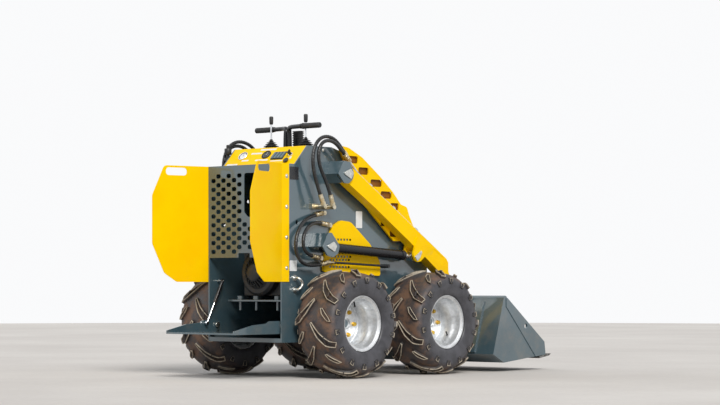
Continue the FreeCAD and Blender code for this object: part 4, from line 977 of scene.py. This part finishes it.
HOSE_SIDES = 22
# Rows along a hose's end: distance from the end, radius
SLEEVE_ROWS = (
    (0.0, 0.0118), (0.001, 0.0126), (0.008, 0.0126), (0.009, 0.0118), (0.011, 0.0118), (0.012, 0.0126),
    (0.024, 0.0126), (0.025, 0.0118), (0.027, 0.0118), (0.028, 0.0126), (0.036, 0.0126),
    (0.037, 0.0102), (0.037, 0.006),
)
NUT_ROWS = ((-0.02, 0.01), (-0.019, 0.0138), (-0.004, 0.0138), (-0.003, 0.0112), (0.001, 0.011))


def smooth_route(points):
    """Points read from a quadratic NURBS spline on the route."""
    curve = bpy.data.curves.new("route", "CURVE")
    curve.dimensions = "3D"
    curve.resolution_u = 24
    spline = curve.splines.new("NURBS")
    spline.points.add(len(points) - 1)
    rows = np.column_stack([np.asarray(points), np.ones(len(points))])
    spline.points.foreach_set("co", rows.ravel())
    spline.order_u = 3
    spline.use_endpoint_u = True
    holder = bpy.data.objects.new("route", curve)
    line = bpy.data.meshes.new_from_object(holder)
    path = np.empty(len(line.vertices) * 3)
    line.vertices.foreach_get("co", path)
    bpy.data.objects.remove(holder)
    bpy.data.curves.remove(curve)
    bpy.data.meshes.remove(line)
    return path.reshape(-1, 3)


def evenly(path, step):
    """The same path with points every step of its length."""
    run = np.concatenate([[0], np.cumsum(np.linalg.norm(np.diff(path, axis=0), axis=1))])
    count = max(int(run[-1] / step), 2)
    marks = np.linspace(0, run[-1], count)
    return np.stack([np.interp(marks, run, path[:, i]) for i in range(3)], axis=1), marks


def hose(path):
    """A wrapped hose: its radius swells along a helix that winds round the line."""
    path, run = evenly(path, HOSE_STEP)
    angle = 2 * np.pi * np.arange(HOSE_SIDES) / HOSE_SIDES
    phase = 2 * np.pi * run[:, None] / WRAP_PITCH + angle[None, :]
    swell = np.clip(np.cos(phase) * 2.2, -1, 1) * WRAP_DEPTH
    return swept(path, HOSE_RADIUS + swell, HOSE_SIDES)


def ferrule(place, way):
    """Crimped sleeve with its nut, at a hose's end; way points along the hose."""
    return [turned(SLEEVE_ROWS, place, way, 28), turned(NUT_ROWS, place, way, sides=6)]


def make_hoses():
    """The hoses with their end sleeves; the arm hoses run in a loop from the chassis to the arm."""
    sleeves = {"chassis": [], "lift_arm": []}
    pivot = at(0, 0.081, 1.05)
    for kind, routes in (("arm", ARM_HOSES), ("side", SIDE_HOSES)):
        for side_name, side in SIDES:
            for index, route in enumerate(routes):
                points = [at(side * x, y, z) for x, y, z in route]
                path = smooth_route(points)
                body = "chassis" if kind == "side" else None
                name = f"{kind}_hose_{side_name}_{index + 1}"
                made = piece(name, [hose(path)], HOSE, body, kind + "_hoses")
                if kind == "arm":
                    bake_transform(made)
                far_body = "lift_arm" if kind == "arm" else "chassis"
                sleeves["chassis"] += ferrule(points[0], path[1] - points[0])
                sleeves[far_body] += ferrule(points[-1], path[-2] - points[-1])
    piece("hose_sleeves", sleeves["chassis"], BRASSY, "chassis")
    piece("arm_hose_sleeves", sleeves["lift_arm"], BRASSY, "lift_arm")


make_hoses()


# Controls
DASH_FOOT = at(0, -0.216, 1.092)
DASH_HEAD = at(0, -0.124, 1.19)
DASH_UP = (DASH_HEAD - DASH_FOOT) / np.linalg.norm(DASH_HEAD - DASH_FOOT)
DASH_OUT = np.cross(RIGHT, DASH_UP)
DASH_AXES = (RIGHT, DASH_UP, DASH_OUT)


def on_dash(x, up, out=0.0):
    """A place on the sloping dash: across, up from its middle, and out from its face."""
    return (DASH_FOOT + DASH_HEAD) / 2 + RIGHT * x + DASH_UP * up + DASH_OUT * out


def dial(name, x, up, size, metal, face, needle):
    """A round instrument: a rolled ring, a dark well and a flat face with its marks."""
    ring = np.array([
        (0.0, 1.0), (0.0045, 1.0), (0.0062, 0.95), (0.0064, 0.9), (0.0052, 0.85), (0.0, 0.84),
    ])
    trim(name + "_bezel", [turned(ring * (1, size), on_dash(x, up), DASH_OUT, 48)], metal)
    well = turned([(0.0, size * 0.86), (0.0026, size * 0.86)], on_dash(x, up), DASH_OUT, 40)
    trim(name + "_well", [well], PLASTIC)
    disc = turned([(0.0, size * 0.72), (0.0032, size * 0.72)], on_dash(x, up), DASH_OUT, 40)
    trim(name + "_face", [disc], face)
    marks = []
    for index in range(9):
        turn = math.radians(-120 + 30 * index)
        out = np.array([math.sin(turn), math.cos(turn)]) * size
        aside = np.array([out[1], -out[0]]) / size * 0.0006
        low, high = out * 0.56, out * 0.68
        corners = np.array([low - aside, low + aside, high + aside, high - aside])
        marks.append(slab(corners, 0.0004, on_dash(x, up, 0.0032), DASH_AXES, 0.0001))
    tip = size * 0.55
    pointer = np.array([(-0.0009, -0.003), (0.0009, -0.003), (0.0003, tip), (-0.0003, tip)])
    marks.append(slab(pointer, 0.0008, on_dash(x, up, 0.0034), DASH_AXES, 0.0002))
    trim(name + "_marks", marks, needle)


ROCKERS = 4
ROCKER_START = 0.0715
ROCKER_PITCH = 0.0217
ROCKER_LIFTS = (0.007, 0.003)
KEY_PLACE = (0.186, 0.004)
KNOB_PLACE = (0.186, -0.044)
STRIPS = (
    (-0.196, -0.052, 0.075, 0.012), (-0.002, -0.026, 0.088, 0.011), (-0.068, 0.026, 0.076, 0.011),
    (-0.12, -0.024, 0.048, 0.011), (0.11, -0.037, 0.084, 0.007), (0.197, -0.018, 0.012, 0.02),
    (0.0, 0.052, 0.11, 0.012),
)


def make_dash():
    """The instruments, four rocker switches, the key, a knob and the blank strips."""
    dial("hour_meter", -0.155, 0.01, 0.0285, CHROME, WHITE_PLATE, DARK_DIAL)
    dial("gauge", 0.0107, 0.011, 0.0275, PLASTIC, DARK_DIAL, WHITE_PLATE)
    frames, paddles = [], []
    low, high = ROCKER_LIFTS
    for index in range(ROCKERS):
        x = ROCKER_START + index * ROCKER_PITCH
        outline = rounded(0.0205, 0.056, 0.002)
        frames.append(slab(outline, 0.0035, on_dash(x, 0.0), DASH_AXES, 0.001))
        paddle = rounded(0.0145, 0.046, 0.002)
        lift = low + (high - low) * (paddle[:, 1:] / 0.046 + 0.5)
        rings = []
        for scale, share in ((1.0, 0.0), (1.0, 0.9), (0.9, 1.0)):
            flat = (paddle * scale)[:, :1] * RIGHT + (paddle * scale)[:, 1:] * DASH_UP
            rings.append(on_dash(x, 0.0, 0.003) + flat + lift * share * DASH_OUT)
        paddles.append(loft(rings))
    trim("rocker_frames", frames, PLASTIC, "instruments")
    # The paddles carry the blue-grey painted sky reflection
    trim("rocker_paddles", paddles, ROCKER_SKY_REFLECTION)
    rows = [(0, 0.0125), (0.004, 0.0125), (0.0055, 0.0115), (0.0055, 0.0085), (0.0045, 0.008)]
    collar = turned(rows, on_dash(*KEY_PLACE), DASH_OUT, 32)
    piece("key_switch_ring", [collar], CHROME, "chassis")
    neck = [(0, 0.008), (0.012, 0.0075), (0.013, 0.003)]
    bow = [turned(neck, on_dash(*KEY_PLACE, 0.004), DASH_OUT, 24)]
    bow.append(slab(rounded(0.006, 0.026, 0.0025), 0.012, on_dash(*KEY_PLACE, 0.016), DASH_AXES, 0.001))
    knob = [
        (0, 0.007), (0.004, 0.007), (0.005, 0.0135), (0.007, 0.0155), (0.011, 0.0155),
        (0.013, 0.0135), (0.0135, 0.006),
    ]
    bow.append(turned(knob, on_dash(*KNOB_PLACE), DASH_OUT, 10))
    trim("key_and_knob", bow, PLASTIC)
    plates = []
    for x, up, width, height in STRIPS:
        outline = rounded(width, height, 0.0015, 3)
        plates.append(slab(outline, 0.0007, on_dash(x, up), DASH_AXES, 0.0002))
    trim("blank_strips", plates, WHITE_PLATE)


make_dash()

# The deck's top, and places on it from the rear axle: sticks, handles' foot, ribbed box
DECK = 1.1903
STICK_PLACE = (0.123, 0.016)
POST_Y = 0.01
TUBE_RADIUS = 0.0116
GRIP_START, GRIP_END = 0.15, 0.2698
BREATHER_PLACE = (0.035, 0.0535)


def bellows(x, y, z):
    """A ribbed boot: five round folds, each with its own radius, over a flat flange."""
    rows = [(0.0, 0.0), (0.0, 0.048), (0.004, 0.048), (0.0055, 0.04)]
    for index, outer in enumerate((0.044, 0.04, 0.032, 0.025, 0.014)):
        low = 0.006 + 0.0092 * index
        neck = max(outer - 0.013, 0.0072)
        rows += [
            (low, neck), (low + 0.0016, outer), (low + 0.0034, outer + 0.0004),
            (low + 0.0048, outer - 0.002), (low + 0.0074, neck),
        ]
    rows += [(0.053, 0.0072), (0.056, 0.0065), (0.056, 0.0)]
    return turned(rows, at(x, y, z), UP, 40)


def make_sticks():
    """The two joysticks: a boot, a shaft and a knob each."""
    shaft = [(0.05, 0.0), (0.05, 0.0048), (0.14, 0.0048), (0.14, 0.0)]
    knob = [
        (0.133, 0.0), (0.133, 0.0075), (0.1345, 0.0088), (0.144, 0.0106), (0.17, 0.011),
        (0.1745, 0.0098), (0.1763, 0.0065), (0.1766, 0.0),
    ]
    x, y = STICK_PLACE
    feet = [at(side * x, y, DECK) for _, side in SIDES]
    trim("stick_boots", [bellows(side * x, y, DECK) for _, side in SIDES], BOOT, "joysticks")
    shafts = [turned(shaft, foot, UP, 16) for foot in feet]
    piece("stick_shafts", shafts, CHROME, "chassis")
    trim("stick_knobs", [turned(knob, foot, UP, 24) for foot in feet], PLASTIC)


make_sticks()


def make_handles():
    """Two staggered bars on one foot, each with a collar and a ringed grip."""
    foot = rounded(0.068, 0.06, 0.006)
    tubes = [slab(foot, 0.008, at(0, POST_Y, DECK), np.eye(3), 0.001)]
    collar = [(0, TUBE_RADIUS), (0, 0.0136), (0.01, 0.0136), (0.01, TUBE_RADIUS)]
    length = GRIP_END - GRIP_START
    rows = [(0.0, 0.0), (0.0, 0.016), (0.004, 0.016), (0.005, 0.014)]
    for ring in np.arange(0.009, length - 0.012, 0.0065):
        rows += [(ring, 0.014), (ring + 0.0008, 0.0146)]
        rows += [(ring + 0.0032, 0.0146), (ring + 0.004, 0.014)]
    rows += [(length - 0.003, 0.0142), (length - 0.0005, 0.012), (length, 0.0)]
    grips = []
    for _, side in SIDES:
        y, top = POST_Y - side * 0.045, DECK + 0.1097
        route = [
            (side * 0.015, POST_Y, DECK + 0.006), (side * 0.015, POST_Y, DECK + 0.06),
            (side * 0.0145, POST_Y - side * 0.004, top - 0.004), (side * 0.04, y + side * 0.02, top),
            (side * 0.1, y, top), (side * 0.16, y, top),
        ]
        path = smooth_route([at(*place) for place in route])
        tubes.append(swept(evenly(path, 0.006)[0], TUBE_RADIUS, 24))
        tubes.append(turned(collar, at(side * 0.134, y, top), (side, 0, 0), 24))
        grips.append(turned(rows, at(side * GRIP_START, y, top), (side, 0, 0), 28))
    piece("handle_tubes", tubes, BLACK, "chassis", "handle_bars")
    trim("handle_grips", grips, BOOT)


make_handles()


def make_breather():
    """The ribbed box beside the posts: thin fins every 12 mm round a narrower core."""
    place = at(*BREATHER_PLACE, DECK)
    core, fin = rounded(0.054, 0.019, 0.002, 3), rounded(0.062, 0.025, 0.003, 3)
    layers = [(fin, 0.0), (fin, 0.014), (core, 0.0141)]
    for low in np.arange(0.019, 0.086, 0.012):
        layers += [(core, low - 0.0001), (fin, low), (fin, low + 0.0068), (core, low + 0.0069)]
    layers += [(core, 0.0899), (fin, 0.09), (fin, 0.093), (fin * 0.94, 0.0939)]
    rings = [np.column_stack([flat, np.full(len(flat), lift)]) + place for flat, lift in layers]
    trim("breather_box", [loft(rings)], PLASTIC)


make_breather()


def make_valve_stack():
    """The small valve that stands beside the left of the deck, on its bracket."""
    x, y = -0.285, -0.145
    rows = [
        (0.0, 0.008), (0.03, 0.008), (0.03, 0.019), (0.047, 0.019), (0.048, 0.01), (0.062, 0.01),
        (0.063, 0.0175), (0.065, 0.019), (0.093, 0.019), (0.096, 0.017), (0.096, 0.009),
        (0.112, 0.009), (0.115, 0.006),
    ]
    body = turned(rows, at(x, y, 1.1), UP, 28)
    elbow = turned([(0.0, 0.0095), (0.024, 0.0095), (0.025, 0.008)], at(-0.26, y, 1.109), -RIGHT, 20)
    trim("valve_stack", [body, elbow], PLASTIC)


make_valve_stack()


# Floor, light and backdrop
FLOOR_RADIUS = 15.8
FLOOR_STEPS = 256
SKY = 0.45


def make_stage():
    """A round pale floor; its far edge lies where the photograph's ground ends."""
    turn = 2 * np.pi * np.arange(FLOOR_STEPS) / FLOOR_STEPS
    ring = np.stack([np.cos(turn), np.sin(turn), turn * 0], axis=1) * FLOOR_RADIUS
    mesh = bpy.data.meshes.new("floor")
    mesh.from_pydata(ring, [], [list(range(FLOOR_STEPS))])
    finish = Finish("floor")
    cloud = finish.noise(0.5, 5.0, 0.6)
    grains = finish.noise(30.0, 4.0, 0.7)
    tone = (cloud * 0.7 + grains * 0.3).above(0.3, 0.75)
    finish.bump(grains, 0.0006, 0.3)
    colour = finish.blend(tone, linear(206, 200, 195), linear(224, 219, 214))
    finish.set(Base_Color=colour, Roughness=0.9, Specular_IOR_Level=0.1)
    mesh.materials.append(finish.material)
    floor = bpy.data.objects.new("floor", mesh)
    bpy.context.scene.collection.objects.link(floor)


def lamp_turn(aim):
    """Euler angles that point a lamp's -Z along aim."""
    length = np.linalg.norm(aim)
    return (math.acos(-aim[2] / length), 0.0, math.atan2(aim[1], aim[0]) - math.pi / 2)


def sun(name, aim, power, spread, colour):
    """A sun lamp along aim; spread is its disc's angle in degrees."""
    data = bpy.data.lights.new(name, "SUN")
    data.energy = power
    data.angle = math.radians(spread)
    data.color = colour
    light = bpy.data.objects.new(name, data)
    light.rotation_euler = lamp_turn(np.array(aim, float))
    bpy.context.scene.collection.objects.link(light)


def make_light():
    """A soft high sun from the camera's right, a weaker one from behind, and a pale sky."""
    world = bpy.data.worlds.new("studio")
    bpy.context.scene.world = world
    world.use_nodes = True
    tree = world.node_tree
    back = tree.nodes["Background"]
    back.inputs["Color"].default_value = (0.9, 0.95, 1.0, 1)
    back.inputs["Strength"].default_value = SKY
    white = tree.nodes.new("ShaderNodeBackground")
    white.inputs["Color"].default_value = (0.955, 0.96, 0.97, 1)
    path = tree.nodes.new("ShaderNodeLightPath")
    mix = tree.nodes.new("ShaderNodeMixShader")
    seen = path.outputs["Is Camera Ray"]
    for kind in ("Is Glossy Ray", "Is Transmission Ray"):
        either = tree.nodes.new("ShaderNodeMath")
        either.operation = "MAXIMUM"
        tree.links.new(seen, either.inputs[0])
        tree.links.new(path.outputs[kind], either.inputs[1])
        seen = either.outputs[0]
    tree.links.new(seen, mix.inputs[0])
    tree.links.new(back.outputs[0], mix.inputs[1])
    tree.links.new(white.outputs[0], mix.inputs[2])
    tree.links.new(mix.outputs[0], tree.nodes["World Output"].inputs["Surface"])
    sun("key", (-0.7, 0.5, -0.62), 2.6, 22.0, (1.0, 0.985, 0.955))
    sun("fill", (0.75, 0.45, -0.6), 0.5, 40.0, (0.94, 0.97, 1.0))


make_stage()
make_light()
bpy.context.scene.view_settings.view_transform = "Standard"
